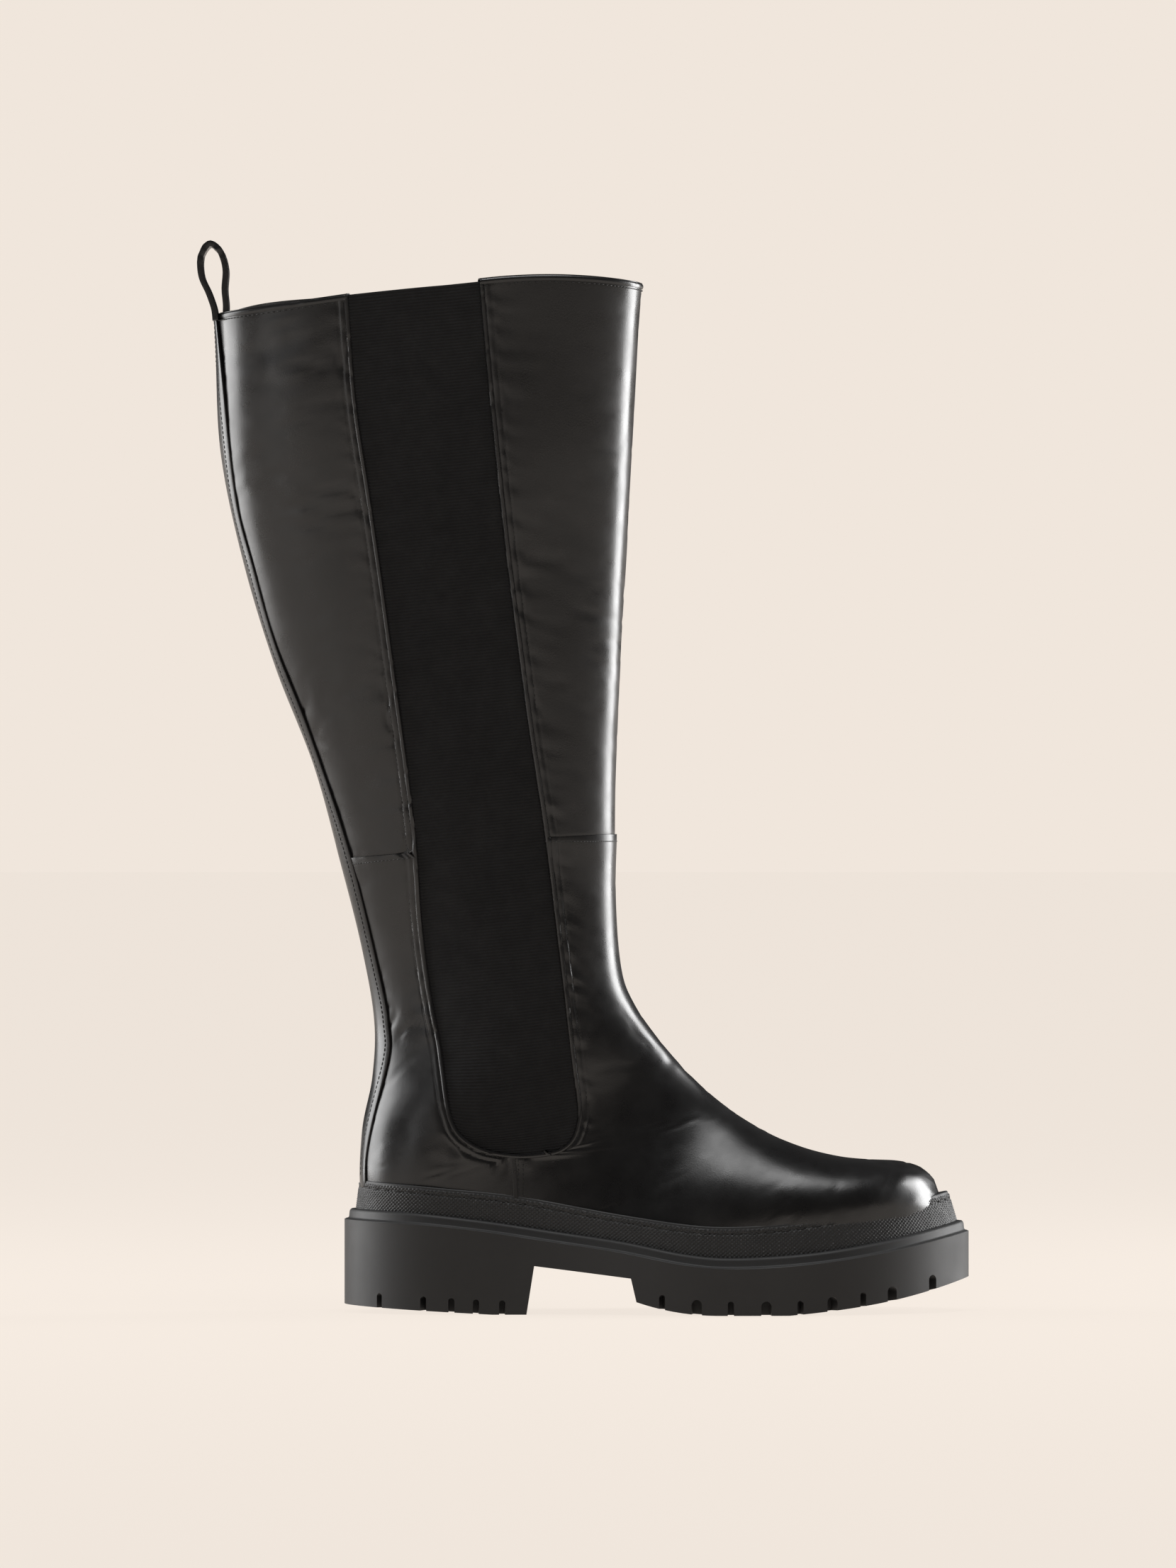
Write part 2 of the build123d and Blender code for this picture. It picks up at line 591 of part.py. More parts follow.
def rubber_welt():
    """The knurled rubber band round the foot of the upper."""
    ring = upright(sole_face(WELT_INSET)) - [foot_cut(), above(WELT_TOP)]
    quarters = [back_side(QUARTER_ROWS, quarter_turn, side, -PLAY, LEATHER) for side in (-1, 1)]
    return only(ring - [upper_body(-3 * PLAY), *quarters])


def upper_body(inset):
    """The whole volume of the upper down to below the sole's top."""
    wires = []
    for row in [*range(10), 10, 10.5, 11, 11.5, 12, 12.5, *range(13, len(STATIONS))]:
        halves = [[on_form(row, side * 180 * step / SHEET_POINTS, inset)
                   for step in range(SHEET_POINTS + 1)] for side in (-1, 1)]
        out, back = Vector(0, -1, 0), Vector(0, 1, 0)
        wires.append(Wire([Edge.make_spline(halves[0], [out, back]),
                           Edge.make_spline(halves[1][::-1], [back, out])]))
    return Solid.make_loft(wires)


def bottom_layers():
    """What the foot stands on inside: filler with the shank in it, insole board, footbed and sock."""
    inner = LEATHER + STIFFENER + LINING + 5 * PLAY
    plan = footprint(inner)
    shank = Solid.make_box(SHANK_LENGTH, SHANK_WIDTH, 90).moved(
        Location((SHANK_START, -SHANK_WIDTH / 2, 0)))
    slot = Solid.make_box(SHANK_LENGTH + 2 * PLAY, SHANK_WIDTH + 2 * PLAY, 90).moved(
        Location((SHANK_START - PLAY, -SHANK_WIDTH / 2 - PLAY, 0)))
    foot = raised(LIP, LEDGE_RISE)
    heel_end = Solid.make_box(2 * FAR, 2 * FAR, 200).moved(Location((SOCK_LENGTH, -FAR, -50)))
    return {
        "bottom_filler": only(layer_over_sole(plan, PLAY, FILLER) - slot),
        "shank": only(shank - [below(raised(foot, PLAY)), above(raised(foot, FILLER))]),
        "insole_board": layer_over_sole(footprint(inner + 0.6), FILLER + PLAY, FILLER + BOARD),
        "footbed": layer_over_sole(footprint(inner + 1.6), FILLER + BOARD + PLAY,
                                   FILLER + BOARD + FOOTBED),
        "heel_sock": only(layer_over_sole(footprint(inner + 2.4), FILLER + BOARD + FOOTBED + PLAY,
                                          FILLER + BOARD + FOOTBED + SOCK) - heel_end),
    }


def main():
    """Makes every piece and writes it to its own file."""
    os.makedirs("parts", exist_ok=True)
    pieces = {**leather_panels(), **gores(), **linings(), **bindings(), **bottom_layers()}
    pieces["back_stay"] = back_stay()
    pieces["pull_loop"] = strap(LOOP, STRAP_WIDTH, STRAP_THICKNESS)
    pieces["loop_tail"] = loop_tail()
    pieces["outsole"] = outsole()
    pieces["heel_core"] = heel_hollow(PLAY)
    pieces["rubber_welt"] = rubber_welt()
    for name, piece in pieces.items():
        export_step(piece.moved(Location((-CENTRE_X, 0, 0))), f"parts/{name}.step")


if __name__ == "__main__":
    main()
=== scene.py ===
# %% [markdown]
# # A knee-high pull-on boot
# The CAD model gives the frame: where every piece sits and how the ankle and the pull loop move. This
# lesson keeps the pieces whose shape is right, such as the lug sole, and builds the soft ones anew in
# mesh code: leather panels with folded edges, ribbed elastic, a knurled welt and thousands of stitches.

# %% Load the frame
import json
import math
import time

import bmesh
import bpy
import numpy as np
from mathutils import Matrix, Vector, kdtree, noise

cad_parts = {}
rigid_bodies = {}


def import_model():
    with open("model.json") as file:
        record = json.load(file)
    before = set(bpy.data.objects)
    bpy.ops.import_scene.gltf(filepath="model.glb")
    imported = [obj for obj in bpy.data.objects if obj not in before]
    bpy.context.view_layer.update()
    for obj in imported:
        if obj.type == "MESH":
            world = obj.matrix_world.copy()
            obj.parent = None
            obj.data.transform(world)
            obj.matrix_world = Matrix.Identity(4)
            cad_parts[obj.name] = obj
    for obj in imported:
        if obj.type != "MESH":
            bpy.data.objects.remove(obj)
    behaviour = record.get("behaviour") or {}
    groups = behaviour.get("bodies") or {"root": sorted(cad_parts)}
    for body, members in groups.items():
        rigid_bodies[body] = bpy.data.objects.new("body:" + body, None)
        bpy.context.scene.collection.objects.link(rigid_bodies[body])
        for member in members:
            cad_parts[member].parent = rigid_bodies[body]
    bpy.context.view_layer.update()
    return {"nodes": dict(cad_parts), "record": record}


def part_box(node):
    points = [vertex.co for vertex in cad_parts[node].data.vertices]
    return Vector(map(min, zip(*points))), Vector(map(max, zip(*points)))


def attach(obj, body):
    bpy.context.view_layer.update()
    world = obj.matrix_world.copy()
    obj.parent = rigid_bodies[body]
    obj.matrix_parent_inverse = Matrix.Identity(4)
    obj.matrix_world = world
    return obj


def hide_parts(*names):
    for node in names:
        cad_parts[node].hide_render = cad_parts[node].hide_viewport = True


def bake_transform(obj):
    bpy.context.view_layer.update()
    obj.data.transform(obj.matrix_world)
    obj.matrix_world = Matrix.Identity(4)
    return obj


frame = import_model()
MM = 0.001
HEEL_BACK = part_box("outsole")[0].x
started = time.time()

# %% [markdown]
# The upper of a boot is a curved body, and every panel lies on it. The body is described by sections:
# level rings at the calf that fan round to upright ones at the toe. A point on it is a place, which
# counts the sections, and a turn, from 0 at the front to 180 behind. An inset goes below the surface,
# so the same two numbers also place linings, and a negative inset raises a seam or a fold.

# %% The sections of the body, in millimetres
SECTIONS = [
    ((138.5, 492), (-59.8, 480), 37.5, 37.5, 0.48, 2.2, 2.3, 0, 1),
    ((134.6, 450), (-57.6, 444), 37.0, 37.0, 0.47, 2.2, 2.3, 0, 1),
    ((131.8, 400), (-55.2, 394), 36.0, 36.0, 0.46, 2.2, 2.1, 0, 1),
    ((129.2, 352), (-45.2, 345), 34.0, 34.0, 0.45, 2.2, 2.0, 0, 1),
    ((126.9, 304), (-30.4, 296), 31.5, 31.5, 0.44, 2.2, 2.0, 0, 1),
    ((124.7, 258), (-12.5, 250), 30.0, 30.0, 0.43, 2.2, 2.0, 0, 1),
    ((123.8, 214), (-0.4, 206), 28.5, 28.5, 0.42, 2.2, 1.9, 0, 1),
    ((124.6, 180), (9.4, 167), 28.5, 28.5, 0.41, 2.2, 1.7, 0, 1),
    ((127.0, 155), (15.1, 134), 29.0, 29.0, 0.42, 2.2, 1.7, 0, 1),
    ((132.5, 141), (14.3, 108), 29.5, 29.5, 0.46, 2.2, 1.8, 0, 1),
    ((142.0, 127), (9.4, 82), 30.5, 30.5, 0.56, 2.2, 2.1, 0, 1),
    ((154.0, 112.5), (9.6, 50), 30.0, 29.5, 0.66, 2.1, 2.3, 0, 1),
    ((166.0, 100.5), (22.0, 20), 29.8, 27.4, 0.62, 2.1, 2.3, 0, 1),
    ((179.0, 90.5), (60.0, 2), 32.0, 27.5, 0.50, 2.1, 2.3, 0, 1),
    ((193.4, 81.8), (109.0, -8), 40.5, 34.5, 0.455, 2.1, 2.3, 0, 1),
    ((209.7, 75.2), (157.0, -6), 43.5, 42.0, 0.42, 2.1, 2.3, 0.5, 1),
    ((226.0, 71.3), (197.0, 2), 41.5, 42.5, 0.42, 2.2, 2.3, 1, 1),
    ((240.0, 69.7), (224.0, 8), 37.5, 39.5, 0.40, 2.2, 2.3, 2, 1.1),
    ((252.5, 68.7), (243.0, 8), 31.0, 34.0, 0.34, 2.2, 2.3, 3.5, 1.25),
    ((260.5, 66.8), (256.0, 10), 25.0, 28.5, 0.35, 2.2, 2.3, 5, 1.45),
    ((266.0, 64.0), (264.0, 14), 19.5, 22.5, 0.36, 2.2, 2.3, 6.5, 1.65),
    ((270.2, 59.5), (269.6, 18), 13.0, 15.0, 0.36, 2.2, 2.3, 7.5, 1.9),
    ((272.8, 52.5), (272.8, 20), 5.5, 6.5, 0.34, 2.2, 2.3, 8, 1.3),
]
COLUMNS = [list(column) for column in zip(*[(*front, *back, *rest) for front, back, *rest in SECTIONS])]
LAST_PLACE = len(SECTIONS) - 1


def between(rows, place):
    """A value between the sections, on a smooth curve through them."""
    low = min(max(int(place), 0), len(rows) - 2)
    share = place - low
    before, here = rows[max(low - 1, 0)], rows[low]
    there, after = rows[low + 1], rows[min(low + 2, len(rows) - 1)]
    bend = 2 * before - 5 * here + 4 * there - after
    twist = 3 * (here - there) + after - before
    return here + 0.5 * share * (there - before + share * (bend + share * twist))


def section(place):
    """All numbers of the section at a place."""
    return [between(column, place) for column in COLUMNS]


def power(value, fullness):
    """One coordinate of a superellipse."""
    return math.copysign(abs(value) ** (2 / fullness), value)


def on_body(row, turn, inset=0.0):
    """The point in millimetres at a turn on a section, inset below the leather's surface."""
    fx, fz, bx, bz, outer, inner, widest, full_front, full_back, lean, slant = row
    across = inset * slant
    length = math.hypot(fx - bx, fz - bz)
    ax, az = (fx - bx) / length, (fz - bz) / length
    sx, sz, ex, ez = fx - ax * across, fz - az * across, bx + ax * across, bz + az * across
    mx, mz = sx - (sx - ex) * widest, sz - (sz - ez) * widest
    cosine, sine = math.cos(math.radians(turn)), math.sin(math.radians(turn))
    if cosine > 0:
        reach = math.hypot(sx - mx, sz - mz) * power(cosine, full_front)
    else:
        reach = math.hypot(ex - mx, ez - mz) * power(cosine, full_back)
    side = ((outer if sine < 0 else inner) - across) * power(sine, full_front if cosine > 0 else full_back)
    return mx + ax * reach, lean + side, mz + az * reach


def metres(x, y, z):
    """A point of the drawing, in millimetres from the heel's back, in the frame's metres."""
    return Vector((HEEL_BACK + x * MM, y * MM, z * MM))


print("sections", len(SECTIONS))

# %% [markdown]
# Patterns for leather are drawn flat, and seams are drawn here in side view. `find` turns a side-view
# point into its place and turn: the sections are flat, so each is a straight line from the side.

# %% From the side view to the body
def place_at(x, z):
    """The place of the section that passes through a side-view point."""
    low, high = 0.0, float(LAST_PLACE)
    for _ in range(26):
        middle = (low + high) / 2
        fx, fz, bx, bz = (between(column, middle) for column in COLUMNS[:4])
        if (fx - bx) * (z - bz) - (fz - bz) * (x - bx) > 0:
            high = middle
        else:
            low = middle
    return low


def find(x, z):
    """The place and turn, from 0 to 180, of a side-view point."""
    place = place_at(x, z)
    fx, fz, bx, bz, _, _, widest, full_front, full_back, _, _ = section(place)
    share = ((x - bx) * (fx - bx) + (z - bz) * (fz - bz)) / ((fx - bx) ** 2 + (fz - bz) ** 2)
    ahead = min(1.0, max(-1.0, (share - (1 - widest)) / (widest if share > 1 - widest else 1 - widest)))
    cosine = math.copysign(abs(ahead) ** ((full_front if ahead > 0 else full_back) / 2), ahead)
    return place, math.degrees(math.acos(cosine))


def smooth_line(points, step):
    """Even points along a smooth curve through side-view points."""
    columns = list(zip(*points))
    parts = 16 * (len(points) - 1)
    fine = [tuple(between(column, part / 16) for column in columns) for part in range(parts + 1)]
    run = np.concatenate([[0], np.cumsum([math.dist(one, two) for one, two in zip(fine, fine[1:])])])
    count = max(2, round(run[-1] / step))
    return [tuple(np.interp(run[-1] * k / count, run, [spot[i] for spot in fine]) for i in range(2))
            for k in range(count + 1)]


def height_on(line, x):
    """How high a side-view line, given as its x and its z values, is at x."""
    return float(np.interp(x, *line))


LIP = [(-20, 42.8), (2, 42.4), (33, 41), (64, 37.7), (95, 33), (126, 28.4), (155, 22.9), (177, 21.2),
       (211, 23), (244, 27.6), (283, 36), (310, 43)]
WELT_TOP = [(-20, 62), (8, 60), (45, 57.3), (78, 54), (121, 46), (155, 41.2), (177, 40.2),
            (200, 41.5), (222, 44.4), (244, 47.4), (272, 52.3), (310, 60)]
GORE_BACK_EDGE = [(1.6, 464), (5.5, 416), (11.7, 373), (20, 315), (31.5, 227), (35, 179),
                  (38.6, 150), (44, 121), (47.7, 95)]
GORE_FOOT = [(50.6, 85.4), (55.5, 79.5), (64, 74.8), (78, 72.4), (90, 72.9), (98.7, 74.9),
             (104.4, 80), (107, 88)]
GORE_FRONT_EDGE = [(107.1, 95), (103.5, 125), (98.7, 167), (92.7, 215), (82.4, 286),
                   (71.6, 373), (62.3, 471)]
GORE_EDGE = GORE_BACK_EDGE + GORE_FOOT + GORE_FRONT_EDGE
STAY_EDGE = [(-57.6, 455.5), (-54.7, 427), (-48.7, 373), (-40.7, 341), (-30.5, 305),
             (-15.4, 266), (2.8, 212), (17.5, 152), (21.1, 131), (21.1, 117), (14, 88),
             (10.9, 71), (10.7, 58)]
lip_line = tuple(zip(*smooth_line(LIP, 2)))
welt_line = tuple(zip(*smooth_line(WELT_TOP, 2)))
gore_outline = smooth_line(GORE_EDGE, 0.8)
gore_tree = kdtree.KDTree(len(gore_outline))
for index, (x, z) in enumerate(gore_outline):
    gore_tree.insert((x, 0, z), index)
gore_tree.balance()
print("gore outline points", len(gore_outline))

# %% [markdown]
# Every sheet of the upper is made in the same way. A flat grid is made with `bmesh.ops.create_grid`,
# then each of its rows is laid on the body between two edge points, with the columns closer together
# near the edges, where the fold and the stitched grooves are. A Solidify modifier gives it its
# thickness inwards, a Bevel rounds the cut edges, and both are applied to the mesh.

# %% Sheets on the body
EDGE_STEPS = [0, 0.4, 0.8, 1.2, 1.6, 2.0, 2.5, 3.1, 3.7, 4.1, 4.5, 4.9, 5.5, 6.6]
FOLD_GROOVES = (1.7, 4.4)


def shape_row(middle_place, edge_place, edge_turn, middle_turn):
    """A function from a share, -1 to 1 across the sheet, to the place and turn along one row."""
    def place_and_turn(share):
        place = middle_place + (edge_place - middle_place) * share * share
        turn = middle_turn + share * (edge_turn - middle_turn)
        return place, (turn + 180) % 360 - 180
    return place_and_turn


def row_shares(row, columns, fine):
    """Where a row's columns go: fine steps in from both edges, and even ones between them."""
    if not fine:
        return [2 * k / columns - 1 for k in range(columns + 1)]
    spots = []
    for step in range(13):
        place, turn = row(step / 12)
        spots.append(on_body(section(place), turn))
    half = sum(math.dist(one, two) for one, two in zip(spots, spots[1:]))
    edge = [1 - min(step / half, 0.9 * (k + 1) / len(EDGE_STEPS)) if step else 1
            for k, step in enumerate(EDGE_STEPS)]
    inner = edge[-1]
    middle = [inner * (2 * k / columns - 1) for k in range(1, columns)]
    return [-share for share in edge] + middle + edge[::-1]


def leather_height(x, y, z, away):
    """How far the leather stands up, away from the elastic: grooves, puckers and soft creases."""
    groove = sum(-0.32 * math.exp(-((away - line) / 0.45) ** 2) for line in FOLD_GROOVES)
    roll = 0.3 * math.exp(-((away - 0.7) / 0.6) ** 2) + 0.22 * math.exp(-((away - 3.0) / 0.8) ** 2)
    ripple = noise.noise(Vector((x * 0.09, y * 0.08, z * 0.3 + x * 0.12)))
    pucker = 0.5 * math.exp(-(away / 9.0) ** 2) * ripple
    side = 7.3 if y < 0 else 0.0
    broad = 0.75 * noise.noise(Vector((x * 0.021 + side, y * 0.01, z * 0.017)))
    stretched = Vector((x * 0.055 + z * 0.035 + side, y * 0.02, z * 0.075 - x * 0.045))
    calf_part = 1.0 if x < 60 and z > 90 else 0.55
    crease = -0.9 * calf_part * max(0.0, 1 - 8 * abs(noise.noise(stretched))) * max(
        0, noise.noise(Vector((x, y, z)) * 0.022) + 0.3)
    return groove + roll + pucker + broad + crease


def grid(columns, lines):
    """A flat grid, and each of its points with its column and line."""
    shape = bmesh.new()
    bmesh.ops.create_grid(shape, x_segments=columns, y_segments=lines, size=0.5)
    return shape, [(vert, round((vert.co.x + 0.5) * columns), round((vert.co.y + 0.5) * lines))
                   for vert in shape.verts]


def turn_outwards(shape, outward):
    """Turns a sheet over if it faces inwards: outward tells how far a face at a spot looks out."""
    shape.normal_update()
    if sum(outward(face.normal, face.calc_center_median()) for face in shape.faces) < 0:
        bmesh.ops.reverse_faces(shape, faces=shape.faces)


def add_object(name, data):
    """A new object in the scene."""
    piece = bpy.data.objects.new(name, data)
    bpy.context.scene.collection.objects.link(piece)
    return piece


def mesh_object(name, shape):
    """A new object from a bmesh, which is freed."""
    mesh = bpy.data.meshes.new(name)
    shape.to_mesh(mesh)
    shape.free()
    return add_object(name, mesh)


def sheet_piece(name, rows, columns, thickness, inset=0.0, fine=False, raise_by=None, bevel=0.35):
    """A sheet laid along rows, each a function from share to place and turn, with a thickness inwards."""
    shares = [row_shares(row, columns, fine) for row in rows]
    shape, spots = grid(len(shares[0]) - 1, len(rows) - 1)
    for vert, column, line in spots:
        share = shares[line][column]
        place, turn = rows[line](share)
        numbers = section(place)
        x, y, z = on_body(numbers, turn, inset)
        if raise_by:
            x, y, z = on_body(numbers, turn, inset - raise_by(x, y, z, share, line))
        vert.co = metres(x, y, z)
    turn_outwards(shape, lambda normal, spot: normal.dot(spot - metres(60, 0, spot.z / MM)))
    return finish_sheet(name, shape, thickness, bevel)


def finish_sheet(name, shape, thickness, bevel):
    """The object for a sheet, with its thickness and rounded edges applied."""
    piece = mesh_object(name, shape)
    wall = piece.modifiers.new("thickness", "SOLIDIFY")
    wall.thickness, wall.offset, wall.use_even_offset = thickness * MM, -1, False
    if bevel:
        edge = piece.modifiers.new("rounded", "BEVEL")
        edge.width, edge.segments = bevel * MM, 3
        edge.limit_method, edge.angle_limit = "ANGLE", math.radians(55)
    apply_modifiers(piece)
    smooth(piece)
    print(name, "faces", len(piece.data.polygons))
    return piece


def apply_modifiers(piece):
    """Makes what the modifiers show the piece's own mesh."""
    done = bpy.data.meshes.new_from_object(piece.evaluated_get(bpy.context.evaluated_depsgraph_get()))
    done.name = piece.name
    piece.modifiers.clear()
    piece.data = done


def smooth(piece, angle=40):
    """Smooth shading, with edges sharper than the angle kept crisp."""
    piece.data.polygons.foreach_set("use_smooth", [True] * len(piece.data.polygons))
    piece.data.set_sharp_from_angle(angle=math.radians(angle))


def from_gore(x, z):
    """How far a side-view point is from the elastic's outline."""
    return gore_tree.find((x, 0, z))[2]


print("edge columns", len(EDGE_STEPS))

# %% [markdown]
# The leather panels meet at the elastic and at two seams across the shin and the calf. The lower
# panels lap over the upper ones there, so their edges stand a little proud.

# %% Rows of the leather panels
SEAM_FRONT, SEAM_BACK = ((92.5, 217.0), (123.7, 218.5)), ((30.5, 210.0), (0.2, 207.4))
FRONT_RIM, BACK_RIM = ((62.3, 471.3), (136.9, 470.6)), ((1.6, 464.6), (-57.2, 456.8))
SEAM_LAP, WELT_FOOT = 0.8, 4.4
SEAM_FOOT, TOE_TIP, TOE_ROWS = 80.2, 272.2, 62
VAMP_BEND, VAMP_DIVIDE, HEEL_BEND, HEEL_DIVIDE = 11.15, 13.7, 10.25, 11.12


def rows_between(edge_points, middle_places, middle_turn):
    """The rows of a panel, one for each edge point, each with its own place at the middle."""
    rows = []
    for (x, z), middle in zip(edge_points, middle_places):
        place, turn = find(x, z)
        rows.append(shape_row(middle, place, turn, middle_turn))
    return rows


def even(start, end, count):
    """Evenly spaced numbers."""
    return [start + (end - start) * k / (count - 1) for k in range(count)]


def panel_between(edge, low, high, step):
    """The even points of an edge whose height lies in a range, from the top down."""
    part = [spot for spot in smooth_line(edge, step) if low < spot[1] < high]
    return sorted(part, key=lambda spot: -spot[1])


front_edge = panel_between(GORE_FRONT_EDGE, 217.6, 470.9, 2.4)
back_edge = panel_between(GORE_BACK_EDGE, 210.6, 464.2, 2.4)
shin_edge = [FRONT_RIM[0], *front_edge, SEAM_FRONT[0]]
calf_edge = [BACK_RIM[0], *back_edge, SEAM_BACK[0]]
shin_middles = even(place_at(*FRONT_RIM[1]), place_at(*SEAM_FRONT[1]), len(shin_edge))
calf_middles = even(place_at(*BACK_RIM[1]), place_at(*SEAM_BACK[1]), len(calf_edge))
shin_rows = rows_between(shin_edge, shin_middles, 0)
calf_rows = rows_between(calf_edge, calf_middles, 180)


def foot_point(x):
    """Where the upper meets the sole at x, in side view."""
    return x, height_on(lip_line, x) + WELT_FOOT


foot_front = [spot for spot in smooth_line(GORE_FRONT_EDGE[:4], 2.0) if spot[1] < 216.2][::-1]
under_gore = smooth_line(GORE_FOOT[3:], 1.4)[::-1]
side_seam = [(78.3, 70), (78.6, 66), (79, 61), (79.4, 55), (79.8, 48), foot_point(SEAM_FOOT)]
welt_run = [foot_point(SEAM_FOOT + (TOE_TIP - SEAM_FOOT) * (k / TOE_ROWS)) for k in range(1, TOE_ROWS + 1)]
vamp_edge = [SEAM_FRONT[0], *foot_front, *under_gore, *side_seam, *welt_run]
last = place_at(*foot_point(SEAM_FOOT))
vamp_middles = even(place_at(*SEAM_FRONT[1]), VAMP_BEND, len(foot_front) + 1)
vamp_middles += even(VAMP_BEND + 0.02, VAMP_DIVIDE, len(under_gore) + len(side_seam))
vamp_middles += [VAMP_DIVIDE + (LAST_PLACE - VAMP_DIVIDE) * ((place_at(*spot) - last) / (LAST_PLACE - last))
                 for spot in welt_run]
vamp_rows = rows_between(vamp_edge, vamp_middles, 0)

foot_back = [spot for spot in smooth_line(GORE_BACK_EDGE[3:], 2.0) if spot[1] < 209.2]
under_heel = smooth_line(GORE_FOOT[:4], 1.4)
quarter_edge = [SEAM_BACK[0], *foot_back, *under_heel, *side_seam]
quarter_middles = even(place_at(*SEAM_BACK[1]), HEEL_BEND, len(foot_back) + 1)
quarter_middles += even(HEEL_BEND + 0.02, HEEL_DIVIDE, len(under_heel) + len(side_seam))
quarter_rows = rows_between(quarter_edge, quarter_middles, 180)
print("rows", len(shin_rows), len(calf_rows), len(vamp_rows), len(quarter_rows))

# %% Cut the leather panels
LEATHER, ROW_STEP, LAP_FADE = 1.6, 2.0, 9.0
RIM_ARCH, ARCH_MIDDLE, ARCH_HALF = 2.6, 99, 38.0


def rim_arch(x):
    """How far the front rim rises in a low arch at x."""
    return RIM_ARCH * max(0.0, 1 - ((x - ARCH_MIDDLE) / ARCH_HALF) ** 2)


def plain_leather(x, y, z, share, line):
    """The leather's own surface."""
    return leather_height(x, y, z, from_gore(x, z))


def lapped_leather(x, y, z, share, line):
    """The same, lifted where the top edge laps over the panel above."""
    lift = SEAM_LAP * math.exp(-((line * ROW_STEP) / LAP_FADE) ** 2)
    return plain_leather(x, y, z, share, line) + lift


def arched(piece, top, depth):
    """Lifts the top edge of a panel into a low arch, which fades out over a depth."""
    for vert in piece.data.vertices:
        fade = max(0.0, 1 - (top - vert.co.z / MM) / depth) ** 2
        vert.co.z += MM * fade * rim_arch((vert.co.x - HEEL_BACK) / MM)


shin = sheet_piece("shin_panel", shin_rows, 30, LEATHER, fine=True, raise_by=plain_leather)
arched(shin, 471.5, 60)
calf = sheet_piece("calf_panel", calf_rows, 34, LEATHER, fine=True, raise_by=plain_leather)
vamp = sheet_piece("vamp_leather", vamp_rows, 44, LEATHER, fine=True, raise_by=lapped_leather)
heel = sheet_piece("heel_quarters", quarter_rows, 34, LEATHER, fine=True, raise_by=lapped_leather)
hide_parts("shaft_front")
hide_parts("shaft_back_lateral", "shaft_back_medial")
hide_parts("vamp")
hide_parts("quarter_lateral", "quarter_medial")

# %% [markdown]
# The lining is a plain sheet a few millimetres inside the leather. It only shows from above, so it has
# wider rows and no grooves.

# %% Line the boot
LINING_DEPTH, LINING = 3.0, 0.8
shin_lining = sheet_piece("shin_lining", shin_rows[1::4] + [shin_rows[-1]], 20, LINING, LINING_DEPTH, bevel=0)
calf_lining = sheet_piece("calf_lining", calf_rows[1::4] + [calf_rows[-1]], 20, LINING, LINING_DEPTH, bevel=0)
vamp_lining = sheet_piece("vamp_lining_sheet", vamp_rows[::4], 24, LINING, LINING_DEPTH, bevel=0)
heel_lining = sheet_piece("heel_lining", quarter_rows[::4], 24, LINING, LINING_DEPTH, bevel=0)
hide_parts("shaft_lining_front")
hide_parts("shaft_lining_back")
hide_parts("vamp_lining")
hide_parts("quarter_lining")

# %% [markdown]
# The elastic gore runs the whole height of the leg and ends in a U above the welt. Its ribs are real:
# the grid has four rows for each rib, and a wave lifts every fourth one. The sheet goes a little under
# the folded leather on both sides, and lies a little lower than it.

# %% Weave the elastic
RIB_PITCH, RIB_HEIGHT, RIB_SLOPE = 1.4, 0.3, 0.1
ROWS_PER_RIB, ELASTIC_COLUMNS, ELASTIC_DEPTH, ELASTIC_THICKNESS, TUCK = 4, 16, 1.0, 1.3, 0.9
GORE_TOP = (1.6, 464.2)


def gore_rows():
    """For each level up the elastic, its back and front edge in side view."""
    levels = [z - RIB_SLOPE * x for x, z in gore_outline]
    lowest = levels.index(min(levels))
    back, front = range(lowest, -1, -1), range(lowest, len(levels))
    top = GORE_TOP[1] - RIB_SLOPE * GORE_TOP[0]
    count = round((top - levels[lowest]) / RIB_PITCH) * ROWS_PER_RIB
    rows = []
    for k in range(count + 1):
        level = levels[lowest] + (top - levels[lowest]) * k / count
        x_back = float(np.interp(level, [levels[i] for i in back], [gore_outline[i][0] for i in back]))
        x_front = float(np.interp(level, [levels[i] for i in front], [gore_outline[i][0] for i in front]))
        rows.append((x_back - TUCK, x_front + TUCK, level))
    return rows


def elastic(name, side, rows):
    """The ribbed elastic of one side."""
    shape, spots = grid(ELASTIC_COLUMNS, len(rows) - 1)
    lines = [[find(x, level + RIB_SLOPE * x) for x in edges] for *edges, level in rows]
    for vert, column, line in spots:
        share = column / ELASTIC_COLUMNS
        (place_a, turn_a), (place_b, turn_b) = lines[line]
        place, turn = place_a + (place_b - place_a) * share, turn_a + (turn_b - turn_a) * share
        rib = RIB_HEIGHT * (0.5 - 0.5 * math.cos(2 * math.pi * line / ROWS_PER_RIB))
        numbers = section(place)
        x, y, z = on_body(numbers, side * turn)
        sag = 0.5 * noise.noise(Vector((x * 0.03, y * 0.02, z * 0.02)))
        vert.co = metres(*on_body(numbers, side * turn, ELASTIC_DEPTH - rib - sag))
    turn_outwards(shape, lambda normal, spot: normal.y * side)
    piece = finish_sheet(name, shape, ELASTIC_THICKNESS, 0)
    return piece


levels_of_gore = gore_rows()
gore_lateral = elastic("elastic_lateral", -1, levels_of_gore)
gore_medial = elastic("elastic_medial", 1, levels_of_gore)
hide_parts("gore_lateral")
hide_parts("gore_medial")

# %% [markdown]
# A narrow strip covers the seam up the back of the leg. It is laid on the leather like the panels,
# with its surface a little above theirs.

